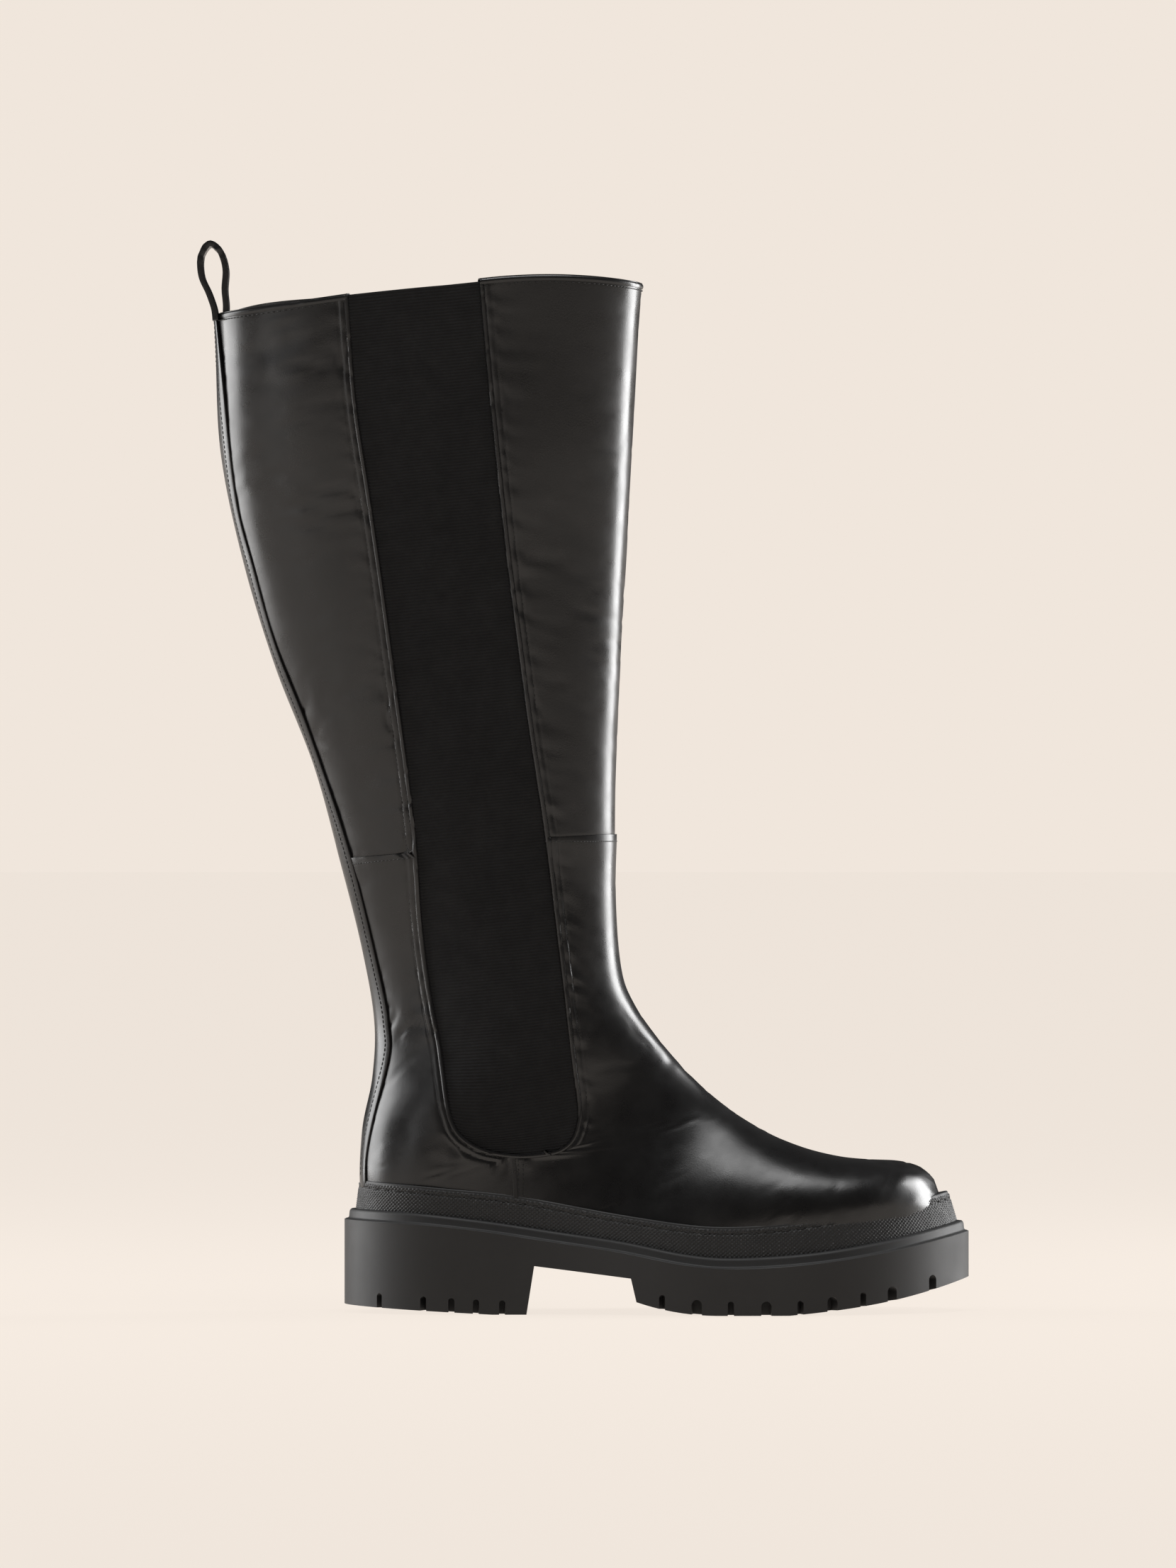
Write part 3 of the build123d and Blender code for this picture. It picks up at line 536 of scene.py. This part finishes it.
# %% The back stay
STAY_HEIGHT, STAY = 1.5, 1.5
stay_edge = smooth_line(STAY_EDGE, 3)
stay_rows = rows_between(stay_edge, [place_at(*spot) for spot in stay_edge], 180)
stay = sheet_piece("back_stay_strip", stay_rows, 18, STAY, -STAY_HEIGHT,
                   raise_by=lambda x, y, z, share, line: 0.12 - 0.5 * abs(share) ** 6, bevel=0.4)
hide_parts("back_stay")

# %% [markdown]
# Along the top the leather is turned over into a narrow rolled edge, which hides the raw edges of the
# leather and lining. Its cross-section is a list of depths and lifts, swept along the panels' top rows.

# %% Roll the top edges
ROLL = [(-0.2, -2.6), (-0.5, -1.7), (-0.45, -0.9), (0.0, -0.2), (0.9, 0.25), (1.9, 0.35), (2.9, 0.25),
        (3.7, -0.2), (4.1, -0.9), (4.1, -1.7), (3.8, -2.6)]
EDGE_THICKNESS, CLEAR_OF_GORE, FAR_FROM_GORE = 0.5, 20, 30


def rolled_edge(name, row, count, lift_at):
    """A rolled edge over one row of a panel."""
    shape, spots = grid(count, len(ROLL) - 1)
    for vert, column, line in spots:
        depth, lift = ROLL[line]
        place, turn = row(2 * column / count - 1)
        numbers = section(place)
        height = leather_height(*on_body(numbers, turn), CLEAR_OF_GORE)
        x, y, z = on_body(numbers, turn, depth - height)
        vert.co = metres(x, y, z + lift + lift_at(x))
    turn_outwards(shape, lambda normal, spot: normal.z)
    piece = finish_sheet(name, shape, EDGE_THICKNESS, 0)
    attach(piece, "shaft")
    return piece


front_roll = rolled_edge("front_rolled_edge", shin_rows[0], 90, rim_arch)
back_roll = rolled_edge("back_rolled_edge", calf_rows[0], 90, lambda x: 0.0)
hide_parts("top_binding_front")
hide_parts("top_binding_back")

# %% [markdown]
# The pull loop is one strap of doubled leather, sewn in at the top of the stay. It is a ribbon along a
# smooth path, with rounded edges and a little crinkle where it bends over the top.

# %% The pull loop
LOOP = [(-58.9, 453.5), (-59.6, 459.0), (-62.0, 466), (-65.4, 474), (-65.6, 483), (-61.5, 488.7),
        (-56.6, 485), (-54.2, 477), (-54.6, 468), (-54.0, 460.6), (-54.2, 454)]
STRAP_WIDTH, STRAP, STRAP_COLUMNS = 20.0, 2.6, 24


def loop_strap(name):
    """The pull loop as a thick ribbon."""
    path = smooth_line(LOOP, 0.8)
    shape, spots = grid(STRAP_COLUMNS, len(path) - 1)
    for vert, column, line in spots:
        share = column / STRAP_COLUMNS - 0.5
        x, z = path[line]
        (ax, az), (bx, bz) = path[max(line - 1, 0)], path[min(line + 1, len(path) - 1)]
        length = math.dist((ax, az), (bx, bz))
        out_x, out_z = -(bz - az) / length, (bx - ax) / length
        bent = max(0.0, (z - 478) / 10)
        crinkle = 0.35 * bent * noise.noise(Vector((x * 0.5, share * 9, z * 0.5)))
        seam = -0.25 * math.exp(-(((0.5 - abs(share)) * STRAP_WIDTH - 1.9) / 0.5) ** 2)
        away = STRAP / 2 + crinkle + seam
        vert.co = metres(x + out_x * away, share * STRAP_WIDTH, z + out_z * away)
    centre = metres(-60, 0, 476)
    turn_outwards(shape, lambda normal, spot: normal.dot(spot - centre))
    return finish_sheet(name, shape, STRAP, 0.5)


pull_loop = loop_strap("pull_loop_strap")
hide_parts("pull_loop")
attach(pull_loop, "loop")

# %% [markdown]
# The welt is the knurled band of rubber between sole and leather, and under it the sole has a narrow
# stepped flange. Both follow the sole's outline, a smooth closed curve, and have one cross-section
# swept round it. The knurl is a diamond wave that lifts the outer face.

# %% The sole's outline
SOLE_OUTLINE = [(0, 1), (8, -21), (35, -37.5), (75, -38), (112, -41.5), (150, -50), (185, -52),
                (225, -46.5), (258, -30.5), (279, -9), (286, 7), (281, 23), (262, 40.5), (232, 50.5),
                (200, 52), (160, 46), (120, 36), (90, 34.5), (60, 36.5), (35, 37.5), (8, 22.5)]


def closed_spline(points, count):
    """Even points, and the ways inwards, on the smoothest closed curve through plan points."""
    spots = np.array(points, float)
    number = len(spots)
    spans = np.linalg.norm(np.roll(spots, -1, 0) - spots, axis=1)
    system, right = np.zeros((number, number)), np.zeros((number, 2))
    for k in range(number):
        before, here = spans[k - 1], spans[k]
        system[k, k - 1] += before
        system[k, k] += 2 * (before + here)
        system[k, (k + 1) % number] += here
        right[k] = 6 * ((spots[(k + 1) % number] - spots[k]) / here - (spots[k] - spots[k - 1]) / before)
    bend = np.linalg.solve(system, right)
    fine = []
    for k in range(number):
        one, two, span = spots[k], spots[(k + 1) % number], spans[k]
        for share in np.arange(0, 1, 1 / 40):
            a, b = 1 - share, share
            fine.append(a * one + b * two + ((a ** 3 - a) * bend[k] + (b ** 3 - b) * bend[(k + 1) % number])
                        * span ** 2 / 6)
    fine = np.array(fine + fine[:1])
    run = np.concatenate([[0], np.cumsum(np.linalg.norm(np.diff(fine, axis=0), axis=1))])
    places = np.arange(count) * run[-1] / count
    even_points = np.stack([np.interp(places, run, fine[:, i]) for i in range(2)], 1)
    along = np.roll(even_points, -1, 0) - np.roll(even_points, 1, 0)
    along /= np.linalg.norm(along, axis=1)[:, None]
    return even_points, np.stack([-along[:, 1], along[:, 0]], 1), run[-1] / count


# %% Sweep a band round the sole
def band(name, profile, count, lift=None):
    """A closed band round the sole: profile gives (inset, height) pairs at x, lift moves them outwards."""
    spots, inward, step = closed_spline(SOLE_OUTLINE, count)
    profiles = [profile(x) for x, _ in spots]
    corners = len(profiles[0])
    shape, grid_points = grid(count, corners)
    for vert, column, line in grid_points:
        station, corner = column % count, line % corners
        (x, y), (ix, iy) = spots[station], inward[station]
        inset, height = profiles[station][corner]
        raised = lift(station * step, height, corner) if lift else 0.0
        vert.co = metres(x + ix * (inset - raised), y + iy * (inset - raised), height)
    bmesh.ops.remove_doubles(shape, verts=shape.verts, dist=1e-6)
    bmesh.ops.recalc_face_normals(shape, faces=shape.faces)
    piece = mesh_object(name, shape)
    smooth(piece, 50)
    print(name, "faces", len(piece.data.polygons))
    return piece


WELT_INSET, WELT_ROWS, WELT_LENGTH, FLANGE_TOP = 5.6, 40, 286, 4.8
THREAD_DROP = 3.3
KNURL_LENGTH, KNURL_HEIGHT, KNURL_LIFT = 2.1, 1.75, 0.6


def lean_at(x):
    """How far the welt leans in from bottom to top."""
    return 1.6 + 2.4 * min(1.0, max(0.0, x / WELT_LENGTH))


def welt_profile(x):
    """The welt's cross-section at x: the outer face from the bottom up, over the top and down inside."""
    bottom, top, lean = foot_point(x)[1], height_on(welt_line, x), lean_at(x)
    face = []
    for k in range(WELT_ROWS + 1):
        share = k / WELT_ROWS
        height = bottom + (top - 0.5 - bottom) * share
        groove = 0.4 * math.exp(-((top - height - THREAD_DROP) / 0.5) ** 2)
        face.append((WELT_INSET + lean * share + groove, height))
    inner = WELT_INSET + lean
    return face + [(inner + 0.3, top - 0.1), (inner + 0.9, top), (inner + 2.6, top - 0.3),
                   (inner + 3.4, top - 3), (inner + 3.4, bottom), (WELT_INSET + 1, bottom)]


def knurl(run, height, row):
    """The diamond knurl on the welt's outer face."""
    if row > WELT_ROWS - 3:
        return 0.0
    along, up = math.pi * run / KNURL_LENGTH, math.pi * height / KNURL_HEIGHT
    return KNURL_LIFT * abs(math.sin(along + up) * math.sin(along - up))


welt = band("knurled_welt", welt_profile, 1440, knurl)
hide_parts("rubber_welt")
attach(welt, "foot")


def flange_profile(x):
    """The stepped flange that the sole has under the welt."""
    lip = height_on(lip_line, x)
    return [(0.02, lip - 0.3), (0.25, lip + 0.1), (0.8, lip + 0.4), (1.7, lip + 0.6), (2.1, lip + 1.2),
            (2.3, lip + 3.4), (2.6, lip + 4.2), (3.3, lip + FLANGE_TOP), (5.2, lip + FLANGE_TOP + 0.2),
            (8.0, lip + FLANGE_TOP), (8.0, lip + 2), (3.6, lip - 0.6)]


flange = band("sole_flange", flange_profile, 640)
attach(flange, "foot")

# %% [markdown]
# Stitches make a boot look sewn. Each is a small capsule: one low sphere, stretched along the seam and
# sunk into its groove. A row of them is one mesh.

# %% Sew
def capsule(shape, spot, along, out, length, width):
    """One stitch at a point, along a seam."""
    across = along.cross(out).normalized()
    axes = Matrix((along * length / 2, across * width / 2, out.normalized() * width / 2)).transposed()
    placed = Matrix.Translation(spot) @ axes.to_4x4() @ Matrix.Rotation(math.pi / 2, 4, "Y")
    bmesh.ops.create_uvsphere(shape, u_segments=6, v_segments=4, radius=1, matrix=placed)


def stitches(name, lines, length, width):
    """One mesh with a stitch between each pair of neighbouring points, along several lines."""
    whole, count = bmesh.new(), 0
    for line in lines:
        shape = bmesh.new()  # one for each line, because adding to a large one is slow
        for (one, out), (two, _) in zip(line[::2], line[1::2]):
            if (two - one).length > 1e-5:
                capsule(shape, (one + two) / 2, (two - one).normalized(), out, length * MM, width * MM)
                count += 1
        part = bpy.data.meshes.new("part")
        shape.to_mesh(part)
        shape.free()
        whole.from_mesh(part)
        bpy.data.meshes.remove(part)
    piece = mesh_object(name, whole)
    smooth(piece, 80)
    print(name, "stitches", count)
    return piece


def sewn_points(side_view, side, inset):
    """Points and outward ways on the body along a side-view line."""
    line = []
    for x, z in side_view:
        place, turn = find(x, z)
        numbers = section(place)
        inner, outer = (Vector(on_body(numbers, side * turn, depth)) for depth in (inset + 1, inset))
        line.append((metres(*outer), (outer - inner).normalized()))
    return line


def offset_line(points, away):
    """A side-view line moved sideways."""
    moved = []
    for k, (x, z) in enumerate(points):
        (ax, az), (bx, bz) = points[max(k - 1, 0)], points[min(k + 1, len(points) - 1)]
        length = math.dist((ax, az), (bx, bz))
        moved.append((x + (bz - az) / length * away, z - (bx - ax) / length * away))
    return moved


STITCH_PITCH, STITCH, THREAD = 2.2, 1.7, 0.5
GORE_SEWN_TOP, STAY_SEWN_FOOT = 461, 62
gore_seam = smooth_line(GORE_EDGE, STITCH_PITCH / 2)
for side, label in ((-1, "lateral"), (1, "medial")):
    seams = []
    for away in FOLD_GROOVES:
        line = []
        for spot in offset_line(gore_seam, away):
            if spot[1] < GORE_SEWN_TOP:
                place, turn = find(*spot)
                height = leather_height(*on_body(section(place), side * turn), away)
                line += sewn_points([spot], side, 0.05 - height)
        seams.append(line)
    sewing = stitches("gore_stitching_" + label, seams, STITCH, THREAD)
    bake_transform(sewing)

# %% [markdown]
# The leather is folded under all round the elastic. The fold is a strip of its own, swept along the
# outline, so its edge stays clean where the panels' rows run nearly along it.

# %% Fold the edges
FOLD_TOP = 469
FOLD = [(-0.35, -0.9), (-0.4, -0.2), (-0.1, 0.38), (0.5, 0.52), (1.1, 0.42), (1.5, 0.05), (1.7, -0.6)]


def folded_edge(name, side_view, side, profile):
    """A narrow rolled strip along a side-view line; profile gives (away, height) pairs."""
    lines = [offset_line(side_view, away) for away, _ in profile]
    shape, spots = grid(len(profile) - 1, len(side_view) - 1)
    for vert, column, line in spots:
        place, turn = find(*lines[column][line])
        numbers = section(place)
        broad = leather_height(*on_body(numbers, side * turn), FAR_FROM_GORE)
        vert.co = metres(*on_body(numbers, side * turn, -profile[column][1] - broad))
    turn_outwards(shape, lambda normal, spot: normal.y * side)
    piece = finish_sheet(name, shape, EDGE_THICKNESS, 0)
    return piece


fold_line = [spot for spot in smooth_line(GORE_EDGE, 1.2) if spot[1] < FOLD_TOP]
side_seam_line = smooth_line([(78.2, 71.5), (78.8, 62), (79.8, 47)], 1.2)
SEAM_FOLD = [(-0.5, -0.5), (-0.3, 0.25), (0.2, 0.4), (0.7, 0.3), (1.2, 0.45), (1.7, 0.25), (1.9, -0.5)]
folds = [folded_edge("gore_edge_lateral", fold_line, -1, FOLD),
         folded_edge("gore_edge_medial", fold_line, 1, FOLD),
         folded_edge("side_seam_lateral", side_seam_line, -1, SEAM_FOLD),
         folded_edge("side_seam_medial", side_seam_line, 1, SEAM_FOLD)]

# %% Sew the seams, the stay and the rims
ROW_REACH = 0.985


def row_line(row, depth, drop, count, lift_at=None):
    """Points along one row of a panel, drop millimetres lower."""
    line = []
    for k in range(count + 1):
        place, turn = row(2 * ROW_REACH * k / count - ROW_REACH)
        numbers = section(place)
        x, y, z = on_body(numbers, turn)
        height = leather_height(x, y, z, from_gore(x, z))
        inner, outer = (Vector(on_body(numbers, turn, below)) for below in (1, 0))
        x, y, z = on_body(numbers, turn, depth - height)
        rise = lift_at(x) if lift_at else 0
        line.append((metres(x, y, z - drop + rise), (outer - inner).normalized()))
    return line


rim_seams = [row_line(shin_rows[0], -0.05, 3.4, 150, rim_arch), row_line(calf_rows[0], -0.05, 3.4, 120)]
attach(stitches("rim_stitching", rim_seams, STITCH, THREAD), "shaft")
cross_seams = [row_line(vamp_rows[1], 0.05 - SEAM_LAP, -0.2, 120),
               row_line(quarter_rows[1], 0.05 - SEAM_LAP, -0.2, 110)]
crossing = stitches("seam_stitching", cross_seams, STITCH, THREAD)
stay_line = [spot for spot in offset_line(smooth_line(STAY_EDGE, STITCH_PITCH / 2), 1.7)
             if spot[1] > STAY_SEWN_FOOT]
stay_seams = [sewn_points(stay_line, side, -STAY_HEIGHT - 0.08) for side in (-1, 1)]
stay_sewing = stitches("stay_stitching", stay_seams, STITCH, THREAD)
side_seams = [sewn_points([(78.6 + shift, 70.5 - k * 1.1) for k in range(16)], side, -0.25)
              for side in (-1, 1) for shift in (1.2, 3.4)]
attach(stitches("side_seam_stitching", side_seams, STITCH, THREAD), "foot")

# %% [markdown]
# The welt is sewn with a thick thread in its groove: long stitches with short gaps between them.

# %% Sew the welt
def welt_thread(x):
    """Inset and height of the thread at x."""
    top, lean = height_on(welt_line, x), lean_at(x)
    return WELT_INSET + lean * 0.78 + 0.15, top - THREAD_DROP


THREAD_POINTS = 172
spots, inward, _ = closed_spline(SOLE_OUTLINE, THREAD_POINTS)
thread = []
for (x, y), (ix, iy) in zip(spots, inward):
    inset, height = welt_thread(x)
    thread.append((metres(x + ix * inset, y + iy * inset, height), Vector((-ix, -iy, 0))))
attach(stitches("welt_thread", [thread], 5.2, 1.0), "foot")

# %% [markdown]
# The pieces that cross the ankle have their placement baked into their meshes.

# %% Bake the pieces that cross the ankle
for piece in (shin, calf, vamp, heel, shin_lining, calf_lining, vamp_lining, heel_lining, gore_lateral,
              gore_medial, stay, crossing, stay_sewing, *folds):
    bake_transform(piece)
print("made the pieces in", round(time.time() - started), "s")

# %% [markdown]
# ## Finishes
# The same two effects appear in every finish, so each is a node group with its own inputs: fine grain
# and soft mottling. The materials place them with their own numbers.

# %% Node group helpers
def new_group(name, inputs, outputs):
    """An empty shader group with float inputs and named outputs, and its two end nodes."""
    group = bpy.data.node_groups.new(name, "ShaderNodeTree")
    for label, value in inputs:
        socket = group.interface.new_socket(name=label, in_out="INPUT", socket_type="NodeSocketFloat")
        socket.default_value = value
    for label in outputs:
        group.interface.new_socket(name=label, in_out="OUTPUT", socket_type="NodeSocketFloat")
    return group, group.nodes.new("NodeGroupInput"), group.nodes.new("NodeGroupOutput")


def add_node(tree, kind, **settings):
    """A node with its settings."""
    node = tree.nodes.new(kind)
    for key, value in settings.items():
        setattr(node, key, value)
    return node


def maths(tree, operation, one, two):
    """A Math node of two sockets."""
    node = add_node(tree, "ShaderNodeMath", operation=operation)
    tree.links.new(one, node.inputs[0])
    tree.links.new(two, node.inputs[1])
    return node.outputs[0]


# %% Fine leather or rubber grain
def build_grain():
    """Cells and noise at a small scale: the height of a grained surface."""
    inputs = [("Scale", 900), ("Cells", 0.5), ("Noise", 0.5)]
    group, start, end = new_group("surface_grain", inputs, ["Height"])
    place = add_node(group, "ShaderNodeTexCoord")
    cells = add_node(group, "ShaderNodeTexVoronoi", feature="SMOOTH_F1")
    cloud = add_node(group, "ShaderNodeTexNoise")
    cloud.inputs["Detail"].default_value = 4
    for texture in (cells, cloud):
        group.links.new(place.outputs["Object"], texture.inputs["Vector"])
        group.links.new(start.outputs["Scale"], texture.inputs["Scale"])
    one = maths(group, "MULTIPLY", cells.outputs["Distance"], start.outputs["Cells"])
    two = maths(group, "MULTIPLY", cloud.outputs["Fac"], start.outputs["Noise"])
    group.links.new(maths(group, "ADD", one, two), end.inputs["Height"])
    return group


def build_mottle():
    """Slow change between two values."""
    group, start, end = new_group("soft_mottle", [("Scale", 30), ("Low", 0.3), ("High", 0.4)], ["Value"])
    place = add_node(group, "ShaderNodeTexCoord")
    cloud = add_node(group, "ShaderNodeTexNoise")
    cloud.inputs["Detail"].default_value = 5
    cloud.inputs["Roughness"].default_value = 0.6
    group.links.new(place.outputs["Object"], cloud.inputs["Vector"])
    group.links.new(start.outputs["Scale"], cloud.inputs["Scale"])
    spread = add_node(group, "ShaderNodeMapRange")
    spread.inputs["From Min"].default_value, spread.inputs["From Max"].default_value = 0.3, 0.7
    group.links.new(cloud.outputs["Fac"], spread.inputs["Value"])
    group.links.new(start.outputs["Low"], spread.inputs["To Min"])
    group.links.new(start.outputs["High"], spread.inputs["To Max"])
    group.links.new(spread.outputs[0], end.inputs["Value"])
    return group


grain_group, mottle_group = build_grain(), build_mottle()
print("groups", grain_group.name, mottle_group.name)

# %% Build a finish
def finish(name, dark, light, rough, grain, bump, mottle_scale=28, specular=0.5):
    """A material: colour between two tones, roughness between two values, and a grain bump."""
    material = bpy.data.materials.new(name)
    material.use_nodes = True
    tree = material.node_tree
    shader = tree.nodes["Principled BSDF"]
    shader.inputs["Specular IOR Level"].default_value = specular
    tone, shine = (add_node(tree, "ShaderNodeGroup", node_tree=mottle_group) for _ in range(2))
    tone.inputs["Scale"].default_value = mottle_scale
    tone.inputs["Low"].default_value, tone.inputs["High"].default_value = 0, 1
    shine.inputs["Scale"].default_value = mottle_scale * 2.3
    shine.inputs["Low"].default_value, shine.inputs["High"].default_value = rough
    mix = add_node(tree, "ShaderNodeMix", data_type="RGBA")
    mix.inputs["A"].default_value, mix.inputs["B"].default_value = (*dark, 1), (*light, 1)
    tree.links.new(tone.outputs["Value"], mix.inputs["Factor"])
    tree.links.new(mix.outputs["Result"], shader.inputs["Base Color"])
    tree.links.new(shine.outputs["Value"], shader.inputs["Roughness"])
    surface = add_node(tree, "ShaderNodeGroup", node_tree=grain_group)
    surface.inputs["Scale"].default_value, surface.inputs["Cells"].default_value = grain[0], grain[1]
    surface.inputs["Noise"].default_value = grain[2]
    dent = add_node(tree, "ShaderNodeBump")
    dent.inputs["Strength"].default_value, dent.inputs["Distance"].default_value = bump
    tree.links.new(surface.outputs["Height"], dent.inputs["Height"])
    tree.links.new(dent.outputs["Normal"], shader.inputs["Normal"])
    return material


leather = finish("polished_leather", (0.0055, 0.0053, 0.0055), (0.0095, 0.0092, 0.0095),
                 (0.24, 0.36), (1500, 0.6, 0.5), (0.12, 0.0002))
lining_leather = finish("lining_leather", (0.016, 0.014, 0.013), (0.026, 0.023, 0.021),
                        (0.6, 0.75), (1200, 0.5, 0.6), (0.3, 0.0003))
rubber = finish("sole_rubber", (0.0095, 0.0095, 0.01), (0.014, 0.014, 0.0145),
                (0.52, 0.62), (2200, 0.3, 0.8), (0.12, 0.0002), mottle_scale=16)
welt_rubber = finish("welt_rubber", (0.011, 0.011, 0.0115), (0.016, 0.016, 0.0165),
                     (0.5, 0.62), (2600, 0.4, 0.7), (0.15, 0.0002), mottle_scale=40)
elastic_cloth = finish("elastic_cloth", (0.0075, 0.0075, 0.008), (0.011, 0.011, 0.0115),
                       (0.8, 0.92), (2600, 0.9, 0.6), (0.5, 0.0003), mottle_scale=60, specular=0.25)
thread_finish = finish("black_thread", (0.003, 0.003, 0.003), (0.006, 0.006, 0.006),
                       (0.5, 0.65), (5000, 0.4, 0.6), (0.3, 0.0001), mottle_scale=90)
foam = finish("latex_foam", (0.05, 0.05, 0.05), (0.09, 0.09, 0.09),
              (0.8, 0.95), (1800, 0.9, 0.3), (0.4, 0.0004))
core = finish("core_foam", (0.28, 0.26, 0.23), (0.36, 0.34, 0.3),
              (0.75, 0.9), (1500, 0.9, 0.3), (0.4, 0.0004))
felt = finish("pressed_felt", (0.34, 0.31, 0.27), (0.46, 0.42, 0.38),
              (0.9, 1.0), (2500, 0.2, 0.9), (0.5, 0.0005))
board = finish("leatherboard", (0.3, 0.2, 0.13), (0.42, 0.3, 0.2),
               (0.65, 0.8), (1600, 0.5, 0.6), (0.3, 0.0003))
steel = finish("spring_steel", (0.45, 0.45, 0.46), (0.56, 0.56, 0.57),
               (0.25, 0.4), (900, 0.1, 0.5), (0.1, 0.0001))
steel.node_tree.nodes["Principled BSDF"].inputs["Metallic"].default_value = 1.0
stiffener = finish("stiffener_sheet", (0.5, 0.48, 0.44), (0.6, 0.58, 0.54),
                   (0.5, 0.65), (1500, 0.4, 0.5), (0.2, 0.0002))

# %% Give every piece its finish
SLOT_FINISH = {"leather": leather, "lining_leather": lining_leather, "elastic": elastic_cloth,
               "sole_rubber": rubber, "welt_rubber": welt_rubber, "core_foam": core, "felt": felt,
               "steel": steel, "board": board, "foam": foam, "stiffener": stiffener}


def dress(piece, material):
    """Puts one material on a whole piece."""
    piece.data.materials.clear()
    piece.data.materials.append(material)


for part in frame["record"]["subparts"]:
    dress(frame["nodes"][part["node"]], SLOT_FINISH[part["material_slot"]])
for material, pieces in (
        (leather, (shin, calf, vamp, heel, stay, front_roll, back_roll, pull_loop, *folds)),
        (lining_leather, (shin_lining, calf_lining, vamp_lining, heel_lining)),
        (elastic_cloth, (gore_lateral, gore_medial)), (welt_rubber, (welt,)), (rubber, (flange,))):
    for piece in pieces:
        dress(piece, material)
for piece in bpy.data.objects:
    if "stitching" in piece.name or piece.name == "welt_thread":
        dress(piece, thread_finish)
print("finishes", len(bpy.data.materials))

# %% [markdown]
# ## The studio
# A pale warm floor and the same colour behind it. Black leather shows its shape by what it reflects,
# so there is a large soft light behind each side, a weaker one in front and one above.

# %% Floor and background
BACKGROUND = (0.871, 0.791, 0.716)
shape = bmesh.new()
bmesh.ops.create_circle(shape, cap_ends=True, segments=96, radius=30)
floor = mesh_object("floor", shape)
floor_finish = bpy.data.materials.new("studio_floor")
floor_finish.use_nodes = True
tree = floor_finish.node_tree
shader = tree.nodes["Principled BSDF"]
shader.inputs["Base Color"].default_value = (0.06, 0.055, 0.05, 1)
shader.inputs["Roughness"].default_value = 1.0
shader.inputs["Specular IOR Level"].default_value = 0.0
shader.inputs["Emission Color"].default_value = (*BACKGROUND, 1)
shader.inputs["Emission Strength"].default_value = 0.975
dress(floor, floor_finish)

world = bpy.data.worlds.new("studio")
bpy.context.scene.world = world
world.use_nodes = True
tree = world.node_tree
seen, lit = tree.nodes["Background"], tree.nodes.new("ShaderNodeBackground")
seen.inputs["Color"].default_value = (*BACKGROUND, 1)
lit.inputs["Color"].default_value, lit.inputs["Strength"].default_value = (1, 0.97, 0.94, 1), 0.05
path, choice = tree.nodes.new("ShaderNodeLightPath"), tree.nodes.new("ShaderNodeMixShader")
tree.links.new(path.outputs["Is Camera Ray"], choice.inputs[0])
tree.links.new(lit.outputs[0], choice.inputs[1])
tree.links.new(seen.outputs[0], choice.inputs[2])
tree.links.new(choice.outputs[0], tree.nodes["World Output"].inputs["Surface"])


# %% Lights and camera
def soft_light(name, spot, aim, size, power_watts):
    """A large rectangular light at a spot, facing aim."""
    data = bpy.data.lights.new(name, "AREA")
    data.shape, data.size, data.size_y, data.energy = "RECTANGLE", *size, power_watts
    lamp = add_object(name, data)
    lamp.location = spot
    lamp.rotation_euler = (Vector(aim) - Vector(spot)).to_track_quat("-Z", "Y").to_euler()


soft_light("left_softbox", (-1.45, 0.3, 0.5), (0, 0, 0.28), (1.0, 1.3), 34)
soft_light("right_softbox", (1.5, 0.6, 0.45), (0, 0, 0.25), (0.7, 1.3), 46)
soft_light("front_fill", (-1.9, -1.9, 0.6), (0, 0, 0.25), (0.5, 1.4), 2.5)
soft_light("overhead", (0.15, -0.5, 2.2), (0.05, 0, 0.1), (1.2, 0.9), 22)

VIEW_WIDTH, VIEW_DISTANCE, SENSOR = 0.5385, 6.0, 36.0
VIEW_CENTRE_X, VIEW_CENTRE_Z = HEEL_BACK + 0.1115, 0.2415
camera = add_object("camera", bpy.data.cameras.new("camera"))
camera.data.sensor_fit, camera.data.sensor_width = "HORIZONTAL", SENSOR
camera.data.lens = SENSOR * VIEW_DISTANCE / VIEW_WIDTH
camera.location = (VIEW_CENTRE_X, -VIEW_DISTANCE, VIEW_CENTRE_Z)
camera.rotation_euler = (math.pi / 2, 0, 0)
bpy.context.scene.camera = camera
bpy.context.scene.view_settings.view_transform = "Standard"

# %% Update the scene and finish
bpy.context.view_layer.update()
print("done in", round(time.time() - started), "s")
